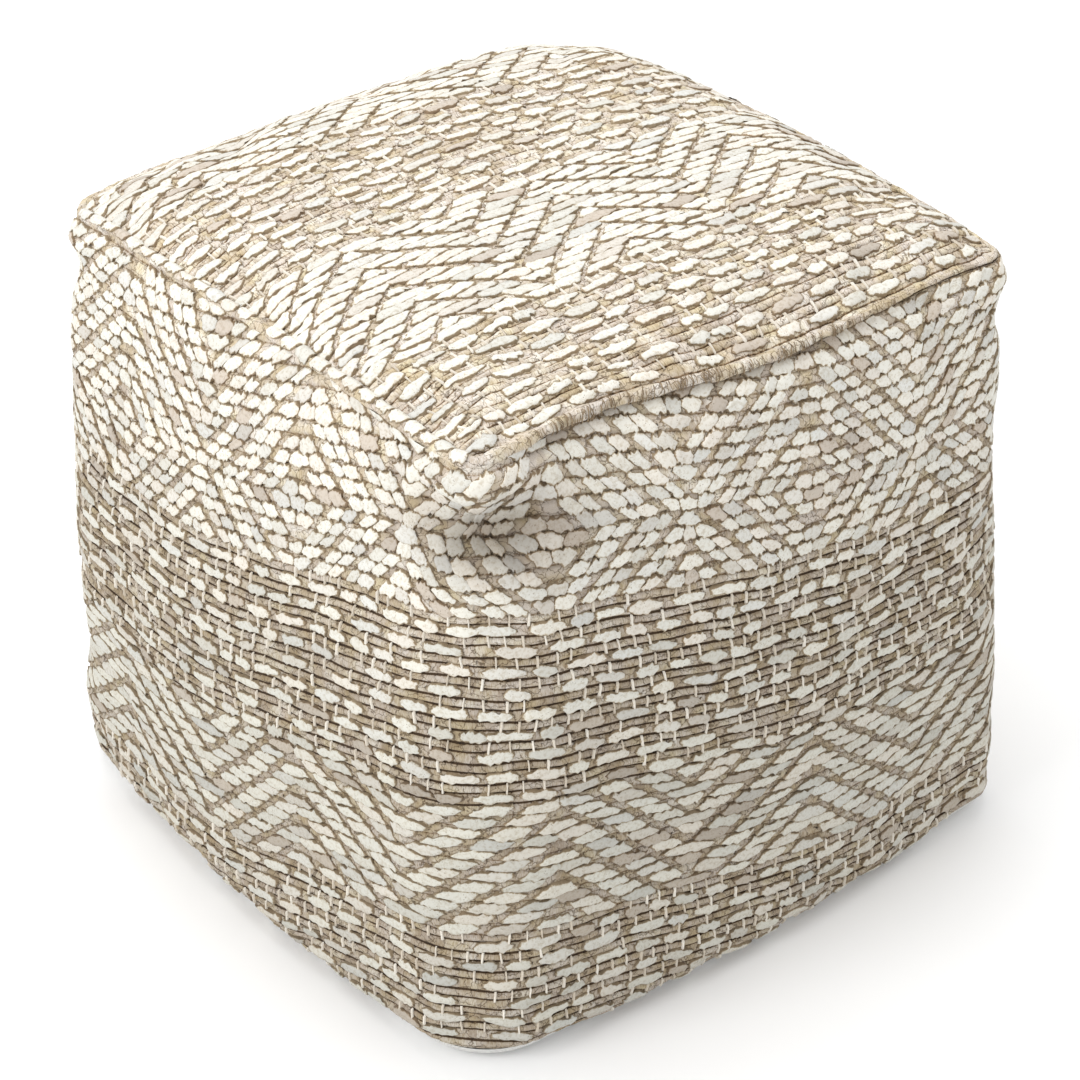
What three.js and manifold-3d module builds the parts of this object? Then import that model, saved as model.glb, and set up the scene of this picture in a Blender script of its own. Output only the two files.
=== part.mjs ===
// Square woven pouf of the 18-inch size: a zipped cover over a bead-filled liner.
// Units are millimetres and +Z is up. The origin is on the floor under the middle of the pouf,
// -Y is the front, and the zip crosses the foot of the back wall.
import * as THREE from "three";
import { mergeVertices } from "three/addons/utils/BufferGeometryUtils.js";
import Module from "manifold-3d";

const wasm = await Module();
wasm.setup();

// ---- driving dimensions ----

const GAP = 0.3; // clearance kept between pieces that touch

const SEAM_HALF = 217; // half the width of the square that the top seam follows
const SEAM_Z = 434; // height of the top seam
const SEAM_SWELLS = [9, 9, 9, 9]; // how far the top seam bows out between its pinched corners
const CROWN = 24; // how far the seat swells above its seam
const CROWN_POWER = 2.5; // how soon the seat flattens towards its middle
const BASE_HALF = 240; // half the width of the square that the walls' foot follows
const BULGE = 8; // how far the walls and corners swell halfway up
const WALL_SWELL = 12; // and how much further the middle of each wall does
const BASE_SWELLS = [0, 12, 12, 12]; // the same at the foot, for the back, left, front and right wall
const BASE_ROUND = 22; // radius where the walls turn under the pouf
const WALL_FOOT_Z = 56; // the walls are straight up to here, so that the zip lies flat
const COVER_T = 4.5; // thickness of the handwoven cloth
const LINER_T = 1.2; // thickness of the cotton liner

// Corner radii in plan, in the order of the corners: back right, back left, front left, front right.
const TOP_CORNERS = [18, 18, 18, 18];
const MID_CORNERS = [60, 60, 70, 60];
const BASE_CORNERS = [55, 56, 54, 34];

const EDGE_MID_Z = 5; // height of the band's lower edge under the middle of a wall
const EDGE_CORNER_Z = 14; // and at a corner, where the band lifts off the base panel
const EDGE_RISE = { start: 0.5, span: 0.3 }; // where that lift begins, as a share of a wall's half width
const EDGE_BACK = { start: 0.72, span: 0.2 }; // where the edge climbs to the zip, as a share of the depth

const ZIP_Z = 40; // height of the zip's centre line
const ZIP_HALF = 150; // half the length of the zip opening
const ZIP_SLOT = 12; // height of the opening between the two folded edges
const ZIP_REBATE = 24; // height of the recess behind those edges, where the tapes are sewn
const ZIP_PARTING = 1.4; // gap between the two coils, where the slider's post runs
const TAPE_T = 0.9;
const COIL_T = 2;
const COIL_H = 2.2;
const SLIDER_L = 10;
const SLIDER_H = 9;
const SLIDER_REST_X = 133;
const STOP_L = 3;
const PLATE_T = 1.2;
const TACK = { width: 1.8, height: 10, thickness: 1.2, fromEnd: 2.2 };
const TOPSTITCH = { width: 1, thickness: 0.8, fromFold: 3, standOff: 0.2 };

const THREAD_R = 0.8;
const THREAD_GROOVE_R = THREAD_R + GAP;
const SLIT_W = GAP + 0.1; // gap between the two ends of the band

const CUT_REACH = 20; // how far cutting bodies reach through the cloth, to be sure of it

// Mesh density
const CORNER_STEPS = 4;
const SIDE_STEPS = 4;
const RING_POINTS = 4 * (CORNER_STEPS + SIDE_STEPS);
const BASE_STEPS = 4;
const WALL_STEPS = 7;
const CROWN_STEPS = 5;

// ---- small helpers ----

function mix(a, b, t) {
  return a + (b - a) * t;
}

function smooth(value) {
  const t = Math.min(1, Math.max(0, value));
  return t * t * (3 - 2 * t);
}

function material(color, roughness, metalness = 0) {
  return new THREE.MeshStandardMaterial({ color, roughness, metalness });
}

function solid(geometry) {
  const bare = geometry.clone();
  bare.deleteAttribute("normal");
  bare.deleteAttribute("uv");
  const merged = mergeVertices(bare, 1e-4);
  const vertProperties = new Float32Array(merged.attributes.position.array);
  const triVerts = new Uint32Array(merged.index.array);
  return new wasm.Manifold(new wasm.Mesh({ numProp: 3, vertProperties, triVerts }));
}

function geometryOf(manifold) {
  const mesh = manifold.getMesh();
  const geometry = new THREE.BufferGeometry();
  geometry.setAttribute("position", new THREE.BufferAttribute(mesh.vertProperties, 3));
  geometry.setIndex(new THREE.BufferAttribute(mesh.triVerts, 1));
  geometry.computeVertexNormals();
  return geometry;
}

function box(low, high) {
  const size = high.map((value, axis) => value - low[axis]);
  const middle = high.map((value, axis) => (value + low[axis]) / 2);
  return new THREE.BoxGeometry(...size).translate(...middle);
}

// ---- the pouf's plan: a square with round corners and swollen sides ----

// Point number `index` of a ring, counted anticlockwise from the back right corner.
function planPoint(index, half, corners, swells) {
  const perCorner = CORNER_STEPS + SIDE_STEPS;
  const corner = Math.floor(index / perCorner) % 4;
  const step = index % perCorner;
  const radius = Math.max(3, corners[corner]);
  const nextRadius = Math.max(3, corners[(corner + 1) % 4]);
  const turn = (corner * Math.PI) / 2;
  let point;
  if (step <= CORNER_STEPS) {
    const angle = (step / CORNER_STEPS) * (Math.PI / 2);
    const centre = half - radius;
    point = new THREE.Vector2(centre + radius * Math.cos(angle), centre + radius * Math.sin(angle));
  } else {
    const along = (step - CORNER_STEPS) / SIDE_STEPS;
    point = new THREE.Vector2(mix(half - radius, nextRadius - half, along), half);
  }
  point.rotateAround(new THREE.Vector2(), turn);
  return swell(point, half, swells);
}

// Moves a plan point outwards at the middle of each side, and not at all at the corners.
// `swells` says how far, for the back, left, front and right side.
function swell(point, half, swells) {
  const reach = (across) => Math.cos((Math.PI / 2) * Math.min(1, Math.abs(across) / half)) ** 2;
  const sideways = point.x < 0 ? swells[1] : swells[3];
  const lengthways = point.y < 0 ? swells[2] : swells[0];
  const x = point.x + sideways * (point.x / half) * reach(point.y);
  const y = point.y + lengthways * (point.y / half) * reach(point.x);
  return new THREE.Vector2(x, y);
}

// How far up the swollen part of the wall a height is, from 0 at its foot to 1 at the seam.
function wallShare(z) {
  return Math.min(1, Math.max(0, (z - WALL_FOOT_Z) / (SEAM_Z - WALL_FOOT_Z)));
}

function fullness(z) {
  return Math.sin(Math.PI * wallShare(z)) ** 2;
}

function wallHalf(z, inset) {
  return mix(BASE_HALF, SEAM_HALF, wallShare(z)) + BULGE * fullness(z) - inset;
}

function wallSwells(z) {
  const share = wallShare(z);
  return BASE_SWELLS.map((foot, side) => mix(mix(foot, SEAM_SWELLS[side], share), WALL_SWELL, fullness(z)));
}

function wallCorners(z, inset) {
  return MID_CORNERS.map((middle, corner) => {
    const end = wallShare(z) < 0.5 ? BASE_CORNERS[corner] : TOP_CORNERS[corner];
    return mix(end, middle, fullness(z)) - inset;
  });
}

function wallLevel(step, inset) {
  return mix(WALL_FOOT_Z, SEAM_Z - inset, step / WALL_STEPS);
}

function wallPoint(index, z, inset) {
  const plan = planPoint(index, wallHalf(z, inset), wallCorners(z, inset), wallSwells(z));
  return new THREE.Vector3(plan.x, plan.y, z);
}

// A point on the rounded foot, at `angle` from straight down, `depth` inside the outer face.
function footPoint(index, angle, depth) {
  const radius = BASE_ROUND - depth;
  const out = radius * Math.sin(angle) - BASE_ROUND;
  const corners = BASE_CORNERS.map((corner) => corner + out);
  const plan = planPoint(index, BASE_HALF + out, corners, BASE_SWELLS);
  return new THREE.Vector3(plan.x, plan.y, BASE_ROUND - radius * Math.cos(angle));
}

// A point on the seat, `share` of the way from its middle to the seam.
function crownPoint(index, share, inset) {
  const half = (SEAM_HALF - inset) * share;
  const corners = TOP_CORNERS.map((corner) => mix(half * 0.8, corner - inset, share));
  const swells = SEAM_SWELLS.map((amount) => amount * share);
  const plan = planPoint(index, half, corners, swells);
  const z = SEAM_Z - inset + CROWN * (1 - share ** CROWN_POWER);
  return new THREE.Vector3(plan.x, plan.y, z);
}

// ---- closed bodies made from rings ----

// Skins a stack of rings, lowest first, and closes it with a fan at each end.
function ringBody(rings, bottomZ, topZ) {
  const points = rings.flat();
  const count = rings[0].length;
  const bottom = points.push(new THREE.Vector3(0, 0, bottomZ)) - 1;
  const top = points.push(new THREE.Vector3(0, 0, topZ)) - 1;
  const lastRing = (rings.length - 1) * count;
  const faces = [];
  for (let i = 0; i < count; i += 1) {
    const next = (i + 1) % count;
    faces.push(bottom, next, i);
    faces.push(lastRing + i, lastRing + next, top);
    for (let below = 0; below < lastRing; below += count) {
      const above = below + count;
      faces.push(below + i, below + next, above + next);
      faces.push(below + i, above + next, above + i);
    }
  }
  const geometry = new THREE.BufferGeometry().setFromPoints(points);
  geometry.setIndex(faces);
  return geometry;
}

function ring(pointAt) {
  return Array.from({ length: RING_POINTS }, (_, index) => pointAt(index));
}

// The whole filled pouf, drawn in by `inset` all over.
function poufBody(inset) {
  const rings = [];
  for (let step = 0; step < BASE_STEPS; step += 1) {
    const angle = (step / BASE_STEPS) * (Math.PI / 2);
    rings.push(ring((index) => footPoint(index, angle, inset)));
  }
  rings.push(ring((index) => wallPoint(index, BASE_ROUND, inset)));
  for (let step = 0; step <= WALL_STEPS; step += 1) {
    rings.push(ring((index) => wallPoint(index, wallLevel(step, inset), inset)));
  }
  for (let step = 1; step < CROWN_STEPS; step += 1) {
    const share = Math.sqrt(1 - step / CROWN_STEPS);
    rings.push(ring((index) => crownPoint(index, share, inset)));
  }
  return solid(ringBody(rings, inset, SEAM_Z - inset + CROWN));
}

// Everything inside and above a mitre that runs down and inwards at 45 degrees from the top seam.
function aboveTopSeam(raise) {
  const lidZ = SEAM_Z + 4 * CROWN;
  const mitre = (out) =>
    ring((index) => {
      const corners = TOP_CORNERS.map((corner) => corner + out);
      const plan = planPoint(index, SEAM_HALF + out, corners, SEAM_SWELLS);
      return new THREE.Vector3(plan.x, plan.y, SEAM_Z + out + raise);
    });
  const lid = mitre(CUT_REACH).map((point) => new THREE.Vector3(point.x, point.y, lidZ));
  const rings = [mitre(-CUT_REACH), mitre(0), mitre(CUT_REACH), lid];
  return solid(ringBody(rings, SEAM_Z - CUT_REACH + raise, lidZ));
}

// Height of the seam between the band and the base panel: low under the walls, higher at the
// corners, and along the zip's centre line at the back.
function edgeHeight(point) {
  const nearest = Math.min(Math.abs(point.x), Math.abs(point.y)) / BASE_HALF;
  const cornerShare = smooth((nearest - EDGE_RISE.start) / EDGE_RISE.span);
  const backShare = smooth((point.y / BASE_HALF - EDGE_BACK.start) / EDGE_BACK.span);
  return mix(mix(EDGE_MID_Z, EDGE_CORNER_Z, cornerShare), ZIP_Z, backShare);
}

// A point on the surface that parts the band from the base panel, square to the wall.
function edgePoint(index, depth, raise) {
  const nominal = planPoint(index, BASE_HALF, BASE_CORNERS, BASE_SWELLS);
  const height = edgeHeight(nominal) + raise;
  if (height >= BASE_ROUND) {
    return wallPoint(index, height, depth);
  }
  return footPoint(index, Math.acos((BASE_ROUND - height) / BASE_ROUND), depth);
}

// Everything under the band's lower edge.
function belowBandEdge(raise) {
  const floorZ = -3 * CUT_REACH;
  const inner = ring((index) => edgePoint(index, CUT_REACH, raise));
  const outer = ring((index) => edgePoint(index, -CUT_REACH, raise));
  const floor = outer.map((point) => new THREE.Vector3(point.x, point.y, floorZ));
  return solid(ringBody([floor, outer, inner], floorZ, BASE_ROUND));
}

// A thread or its groove: a round section swept along points, closed into a loop or capped.
function sweep(points, radius, isLoop, guide) {
  const sides = 5;
  const count = points.length;
  const sections = points.map((point, index) => {
    const before = points[isLoop ? (index + count - 1) % count : Math.max(0, index - 1)];
    const after = points[isLoop ? (index + 1) % count : Math.min(count - 1, index + 1)];
    const along = new THREE.Vector3().subVectors(after, before).normalize();
    const across = new THREE.Vector3().crossVectors(along, guide).normalize();
    const up = new THREE.Vector3().crossVectors(across, along);
    return Array.from({ length: sides }, (_, side) => {
      const angle = (side / sides) * 2 * Math.PI;
      const out = across.clone().multiplyScalar(radius * Math.cos(angle));
      return out.addScaledVector(up, radius * Math.sin(angle)).add(point);
    });
  });
  const vertices = sections.flat();
  const faces = [];
  const spans = isLoop ? count : count - 1;
  for (let span = 0; span < spans; span += 1) {
    const here = span * sides;
    const there = ((span + 1) % count) * sides;
    for (let side = 0; side < sides; side += 1) {
      const next = (side + 1) % sides;
      faces.push(here + side, there + next, here + next);
      faces.push(here + side, there + side, there + next);
    }
  }
  if (!isLoop) {
    const last = (count - 1) * sides;
    for (let side = 1; side < sides - 1; side += 1) {
      faces.push(0, side, side + 1);
      faces.push(last, last + side + 1, last + side);
    }
  }
  const geometry = new THREE.BufferGeometry().setFromPoints(vertices);
  geometry.setIndex(faces);
  return solid(geometry);
}

const UP = new THREE.Vector3(0, 0, 1);
const MID_WALL = COVER_T / 2;

// ---- seam routes, halfway through the cloth ----

function topSeamRoute() {
  return ring((index) => {
    const corners = TOP_CORNERS.map((corner) => corner - MID_WALL);
    const plan = planPoint(index, SEAM_HALF - MID_WALL, corners, SEAM_SWELLS);
    return new THREE.Vector3(plan.x, plan.y, SEAM_Z - MID_WALL);
  });
}

// The base seam runs from one end of the zip round the front to the other end.
function baseSeamRoute() {
  const all = ring((index) => edgePoint(index, MID_WALL, 0));
  const isZip = (point) => point.y > 0.9 * BASE_HALF && Math.abs(point.x) < ZIP_HALF + 6;
  const before = (index) => all[(index + RING_POINTS - 1) % RING_POINTS];
  const start = all.findIndex((point, index) => isZip(before(index)) && !isZip(point));
  const turned = all.slice(start).concat(all.slice(0, start));
  return turned.filter((point) => !isZip(point));
}

// The band's two ends meet at the back right corner.
const CLOSING_CORNER = CORNER_STEPS / 2;
const CLOSING_SIDE = new THREE.Vector3(1, 1, 0);

function bandClosingRoute() {
  const route = Array.from({ length: WALL_STEPS }, (_, step) =>
    wallPoint(CLOSING_CORNER, wallLevel(step, MID_WALL), MID_WALL),
  );
  const headZ = SEAM_Z - 3 * COVER_T;
  return route.concat(wallPoint(CLOSING_CORNER, headZ, MID_WALL));
}

// ---- depths of the zip, measured out from the inner face of the back wall ----

const WALL_INNER_Y = BASE_HALF - COVER_T;
const BACK_PLATE_Y = WALL_INNER_Y + 0.1;
const TAPE_Y = BACK_PLATE_Y + PLATE_T + GAP;
const FLAP_Y = TAPE_Y + TAPE_T + GAP; // inner face of the folded edges, and of the coils
const COIL_FRONT_Y = FLAP_Y + COIL_T;
const FRONT_PLATE_Y = COIL_FRONT_Y + GAP;
const PLATE_FACE_Y = FRONT_PLATE_Y + PLATE_T;
const INSIDE_Y = WALL_INNER_Y - CUT_REACH / 2;
const OUTSIDE_Y = BASE_HALF + 2 * CUT_REACH;

function zipOpening() {
  const cut = (height, farY) =>
    solid(box([-ZIP_HALF, INSIDE_Y, ZIP_Z - height / 2], [ZIP_HALF, farY, ZIP_Z + height / 2]));
  return cut(ZIP_SLOT, OUTSIDE_Y).add(cut(ZIP_REBATE, FLAP_Y));
}

// ---- the cover: seat, band and base ----

const topThreadGroove = sweep(topSeamRoute(), THREAD_GROOVE_R, true, UP);
const baseThreadGroove = sweep(baseSeamRoute(), THREAD_GROOVE_R, false, UP);
const coverShell = poufBody(0).subtract(poufBody(COVER_T));

function topPanel() {
  return geometryOf(coverShell.intersect(aboveTopSeam(GAP / 2)).subtract(topThreadGroove));
}

// The upright slit at the back right corner, where the band's two ends meet.
function closingSlit() {
  const slit = new THREE.BoxGeometry(6 * CUT_REACH, SLIT_W, SEAM_Z * 2);
  slit.translate(SEAM_HALF * Math.SQRT2, 0, SEAM_Z);
  return solid(slit.rotateZ(Math.PI / 4));
}

function sideBand() {
  const closingGroove = sweep(bandClosingRoute(), THREAD_GROOVE_R, false, CLOSING_SIDE);
  const band = coverShell.subtract(aboveTopSeam(-GAP / 2)).subtract(belowBandEdge(GAP / 2));
  return geometryOf(
    band
      .subtract(zipOpening())
      .subtract(topThreadGroove)
      .subtract(baseThreadGroove)
      .subtract(closingGroove)
      .subtract(closingSlit()),
  );
}

function basePanel() {
  return geometryOf(
    coverShell.intersect(belowBandEdge(-GAP / 2)).subtract(zipOpening()).subtract(baseThreadGroove),
  );
}

// ---- the liner and its beads ----

const LINER_OUT = COVER_T + GAP;
const FILL_OUT = LINER_OUT + LINER_T + GAP;
const MOUTH_Z = wallLevel(1, LINER_OUT); // height of the slit that the beads are poured through
const MOUTH_HALF = 110;
const MOUTH_GAP = 1.8;
const MOUTH_THREAD_R = 0.45;

function innerLiner() {
  const bag = poufBody(LINER_OUT).subtract(poufBody(LINER_OUT + LINER_T));
  const low = [-MOUTH_HALF, INSIDE_Y, MOUTH_Z - MOUTH_GAP / 2];
  const high = [MOUTH_HALF, OUTSIDE_Y, MOUTH_Z + MOUTH_GAP / 2];
  return geometryOf(bag.subtract(solid(box(low, high))));
}

// A point on the back wall, `x` from its middle and `inset` inside its outer face.
function backWallPoint(x, z, inset) {
  const half = wallHalf(z, inset);
  const plan = swell(new THREE.Vector2(x, half), half, wallSwells(z));
  return new THREE.Vector3(plan.x, plan.y, z);
}

function linerClosingThread() {
  const steps = 10;
  const reach = MOUTH_HALF - 2;
  const route = Array.from({ length: steps + 1 }, (_, step) =>
    backWallPoint(mix(-reach, reach, step / steps), MOUTH_Z, LINER_OUT + LINER_T / 2),
  );
  return geometryOf(sweep(route, MOUTH_THREAD_R, false, UP));
}

// ---- the zip ----

const TAPE_END = ZIP_HALF - GAP;
const STOP_ROOM = 2.2; // between the resting slider and the stops that end its travel
const COIL_START_X = SLIDER_REST_X + SLIDER_L / 2 + STOP_ROOM;
const COIL_END_X = -COIL_START_X;

// Boxes above and below the centre line; side is +1 for the upper one and -1 for the lower.
function zipStrip(side, x, y, nearZ, farZ) {
  const heights = [ZIP_Z + side * nearZ, ZIP_Z + side * farZ].sort((a, b) => a - b);
  return box([x[0], y[0], heights[0]], [x[1], y[1], heights[1]]);
}

function zipTape(side) {
  const far = ZIP_REBATE / 2 - GAP;
  return zipStrip(side, [-TAPE_END, TAPE_END], [TAPE_Y, TAPE_Y + TAPE_T], ZIP_PARTING / 2, far);
}

function zipCoil(side) {
  const near = ZIP_PARTING / 2;
  return zipStrip(side, [COIL_END_X, COIL_START_X], [FLAP_Y, COIL_FRONT_Y], near, near + COIL_H);
}

function zipTopStop(side) {
  const near = ZIP_PARTING / 2;
  const start = COIL_START_X + GAP;
  return zipStrip(side, [start, start + STOP_L], [FLAP_Y, COIL_FRONT_Y], near, near + COIL_H);
}

function zipBottomStop() {
  const reach = ZIP_PARTING / 2 + COIL_H;
  const end = COIL_END_X - GAP;
  return box([end - STOP_L, FLAP_Y, ZIP_Z - reach], [end, COIL_FRONT_Y, ZIP_Z + reach]);
}

// Close stitches across both tapes at each end of the zip.
function zipEndTack(side) {
  const middle = side * (TAPE_END - TACK.fromEnd);
  return box(
    [middle - TACK.width / 2, FLAP_Y, ZIP_Z - TACK.height / 2],
    [middle + TACK.width / 2, FLAP_Y + TACK.thickness, ZIP_Z + TACK.height / 2],
  );
}

// Stitching that holds a tape to the folded edge over it.
function zipTopstitch(side) {
  const z = ZIP_Z + side * (ZIP_SLOT / 2 + TOPSTITCH.fromFold);
  const y = BASE_HALF + GAP + TOPSTITCH.standOff;
  return box(
    [-TAPE_END, y, z - TOPSTITCH.width / 2],
    [TAPE_END, y + TOPSTITCH.thickness, z + TOPSTITCH.width / 2],
  );
}

// A plate in the XZ plane with a wide nose, a narrow tail and rounded corners.
function sliderPlate(backY) {
  const nose = SLIDER_L / 2;
  const wide = SLIDER_H / 2;
  const narrow = wide * 0.72;
  const round = 1.5;
  const outline = new THREE.Shape();
  outline.moveTo(nose - round, -wide);
  outline.quadraticCurveTo(nose, -wide, nose, -wide + round);
  outline.lineTo(nose, wide - round);
  outline.quadraticCurveTo(nose, wide, nose - round, wide);
  outline.lineTo(-nose + round, narrow);
  outline.quadraticCurveTo(-nose, narrow, -nose, narrow - round);
  outline.lineTo(-nose, -narrow + round);
  outline.quadraticCurveTo(-nose, -narrow, -nose + round, -narrow);
  outline.closePath();
  const plate = new THREE.ExtrudeGeometry(outline, { depth: PLATE_T, bevelEnabled: false, curveSegments: 3 });
  return plate.rotateX(Math.PI / 2).translate(0, backY + PLATE_T, 0);
}

const PULL_T = 1.4;
const PULL_L = 30; // from the root bar's centre to the tip
const PULL_BAR_R = PULL_T / 2; // the root bar is round, and the pull turns on it
const PULL_ROOT_HALF = 3.2;
const PULL_TIP_HALF = 4;
const PULL_NECK_X = { start: -9, end: -14 }; // where the tab widens from its root to its tip
const PULL_WINDOW = { end: -7.5, half: 1.7 };
const PULL_EYE_R = 1.6; // round hole at the tip
const PULL_AXIS_Y = PLATE_FACE_Y + PULL_BAR_R + GAP;

const POST = { half: 1.5, halfHeight: 0.35 };
const BRIDGE_FOOT_X = 2.2; // inner face of the bridge's feet
const BRIDGE_T = 1.2;
const BRIDGE_H = 2.2;

// The slider clasps both coils between two plates, and carries a bridge that holds the pull.
function zipSlider() {
  const overlap = 0.2;
  const bridgeY = PULL_AXIS_Y + PULL_BAR_R + GAP;
  const footX = BRIDGE_FOOT_X + BRIDGE_T;
  const post = box(
    [-POST.half, BACK_PLATE_Y + overlap, -POST.halfHeight],
    [POST.half, FRONT_PLATE_Y + overlap, POST.halfHeight],
  );
  const beam = box([-footX, bridgeY, -BRIDGE_H / 2], [footX, bridgeY + BRIDGE_T, BRIDGE_H / 2]);
  let slider = solid(sliderPlate(BACK_PLATE_Y)).add(solid(sliderPlate(FRONT_PLATE_Y)));
  slider = slider.add(solid(post)).add(solid(beam));
  for (const side of [-1, 1]) {
    const edges = [side * BRIDGE_FOOT_X, side * footX].sort((a, b) => a - b);
    const low = [edges[0], PLATE_FACE_Y - overlap, -BRIDGE_H / 2];
    const high = [edges[1], bridgeY + BRIDGE_T, BRIDGE_H / 2];
    slider = slider.add(solid(box(low, high)));
  }
  return geometryOf(slider);
}

// The pull is a flat tab with a window at its root: the round root bar passes under the bridge.
function zipPullTab() {
  const tipX = PULL_TIP_HALF - PULL_L;
  const outline = new THREE.Shape();
  outline.moveTo(0, -PULL_ROOT_HALF);
  outline.lineTo(0, PULL_ROOT_HALF);
  outline.lineTo(PULL_NECK_X.start, PULL_ROOT_HALF);
  outline.lineTo(PULL_NECK_X.end, PULL_TIP_HALF);
  outline.lineTo(tipX, PULL_TIP_HALF);
  outline.absarc(tipX, 0, PULL_TIP_HALF, Math.PI / 2, (3 * Math.PI) / 2, false);
  outline.lineTo(PULL_NECK_X.end, -PULL_TIP_HALF);
  outline.lineTo(PULL_NECK_X.start, -PULL_ROOT_HALF);
  outline.closePath();
  const eye = new THREE.Path();
  eye.absarc(tipX, 0, PULL_EYE_R, 0, 2 * Math.PI, true);
  outline.holes.push(eye);
  const tab = new THREE.ExtrudeGeometry(outline, { depth: PULL_T, bevelEnabled: false, curveSegments: 8 });
  tab.rotateX(Math.PI / 2).translate(0, PULL_T / 2, 0);
  const opening = box(
    [PULL_WINDOW.end, -CUT_REACH, -PULL_WINDOW.half],
    [CUT_REACH, CUT_REACH, PULL_WINDOW.half],
  );
  const bar = new THREE.CylinderGeometry(PULL_BAR_R, PULL_BAR_R, 2 * PULL_ROOT_HALF, 24);
  const pull = solid(tab).subtract(solid(opening)).add(solid(bar.rotateX(Math.PI / 2)));
  return geometryOf(pull.translate([0, PULL_AXIS_Y, 0]));
}

// A blank woven care label, sewn flat to the band just above the zip.
const LABEL = { width: 34, height: 20, thickness: 0.6, x: -104, raise: 2 };

function careLabel() {
  const foot = backWallPoint(LABEL.x, wallLevel(0, 0), 0);
  const head = backWallPoint(LABEL.x, wallLevel(1, 0), 0);
  const label = new THREE.BoxGeometry(LABEL.width, LABEL.thickness, LABEL.height);
  const lean = Math.atan2(head.y - foot.y, head.z - foot.z);
  const standOff = GAP + LABEL.thickness;
  const middle = foot.clone().lerp(head, (LABEL.height / 2 + LABEL.raise) / (head.z - foot.z));
  return label.rotateX(-lean).translate(middle.x, middle.y + standOff, middle.z);
}

// ---- the assembly ----

const woven = material(0xd8d0c0, 0.9);
const canvas = material(0xdedbd4, 0.95);
const sewing = material(0xc9bfae, 0.8);
const lining = material(0xefece6, 0.95);
const beads = material(0xf7f7f5, 0.7);
const tape = material(0xb9ac97, 0.9);
const nylon = material(0xcbbfa9, 0.5);
const metal = material(0x9c8a66, 0.35, 1);

const pouf = new THREE.Group();

function place(name, geometry, look, position = [0, 0, 0]) {
  const mesh = new THREE.Mesh(geometry, look);
  mesh.name = name;
  mesh.position.set(...position);
  pouf.add(mesh);
}

place("top_panel", topPanel(), woven);
place("side_band", sideBand(), woven);
place("base_panel", basePanel(), canvas);
place("top_seam_thread", geometryOf(sweep(topSeamRoute(), THREAD_R, true, UP)), sewing);
place("base_seam_thread", geometryOf(sweep(baseSeamRoute(), THREAD_R, false, UP)), sewing);
const closingThread = sweep(bandClosingRoute(), THREAD_R, false, CLOSING_SIDE);
place("band_closing_thread", geometryOf(closingThread), sewing);
place("inner_liner", innerLiner(), lining);
place("liner_closing_thread", linerClosingThread(), sewing);
place("bead_fill", geometryOf(poufBody(FILL_OUT)), beads);

for (const [side, name] of [[1, "upper"], [-1, "lower"]]) {
  place(`zip_tape_${name}`, zipTape(side), tape);
  place(`zip_coil_${name}`, zipCoil(side), nylon);
  place(`zip_top_stop_${name}`, zipTopStop(side), metal);
  place(`zip_topstitch_${name}`, zipTopstitch(side), sewing);
}
place("zip_bottom_stop", zipBottomStop(), metal);
place("zip_end_tack_right", zipEndTack(1), sewing);
place("zip_end_tack_left", zipEndTack(-1), sewing);
place("zip_slider", zipSlider(), metal, [SLIDER_REST_X, 0, ZIP_Z]);
place("zip_pull_tab", zipPullTab(), metal, [SLIDER_REST_X, 0, ZIP_Z]);
place("care_label", careLabel(), lining);

export default pouf;
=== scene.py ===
"""Square woven pouf of the 18-inch size, with a handwoven leather and hemp cover.

The cover is laid out flat, as the loom made it: s runs along the weft rows and t across them, in
millimetres. Each leather float, hemp rib and warp thread is its own small mesh patch, and a panel's
surface grid carries the patches round the stuffed body.
"""

import math

import bpy
import numpy as np
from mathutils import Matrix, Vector


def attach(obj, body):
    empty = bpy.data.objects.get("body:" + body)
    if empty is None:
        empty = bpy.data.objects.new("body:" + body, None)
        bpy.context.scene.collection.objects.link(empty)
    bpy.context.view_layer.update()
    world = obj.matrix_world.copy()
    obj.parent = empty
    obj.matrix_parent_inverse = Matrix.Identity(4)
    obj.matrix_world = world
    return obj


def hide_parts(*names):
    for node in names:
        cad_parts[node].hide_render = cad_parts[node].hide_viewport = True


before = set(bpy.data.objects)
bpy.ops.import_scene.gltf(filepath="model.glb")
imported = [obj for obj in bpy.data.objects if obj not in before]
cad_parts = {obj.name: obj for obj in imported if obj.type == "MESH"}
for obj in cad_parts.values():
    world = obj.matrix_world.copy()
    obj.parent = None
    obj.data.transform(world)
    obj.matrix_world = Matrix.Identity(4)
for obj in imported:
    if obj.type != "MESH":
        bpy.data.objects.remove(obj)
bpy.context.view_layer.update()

MM = 0.001
SEED = 20

# ---- shape of the cover, in millimetres, the same as the CAD's ----

SEAM_HALF = 217
SEAM_Z = 434
SEAM_SWELL = 9
CROWN = 24
BASE_HALF = 240
BULGE = 8
WALL_SWELL = 12
BASE_SWELLS = np.array([0.0, 12.0, 12.0, 12.0])  # back, left, front and right wall at the foot
BASE_ROUND = 22
WALL_FOOT_Z = 56
TOP_CORNERS = np.array([18.0, 18.0, 18.0, 18.0])  # back right, back left, front left, front right
MID_CORNERS = np.array([60.0, 60.0, 72.0, 60.0])
BASE_CORNERS = np.array([55.0, 56.0, 54.0, 34.0])
EDGE_MID_Z = 5
EDGE_CORNER_Z = 14
EDGE_RISE = (0.5, 0.3)
EDGE_BACK = (0.72, 0.2)
BASE_LIFT = 2  # how far the base panel's middle lifts off the floor
ZIP_Z = 40
ZIP_HALF = 150
ZIP_SLOT = 12

# ---- the cloth, in millimetres ----

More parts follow.
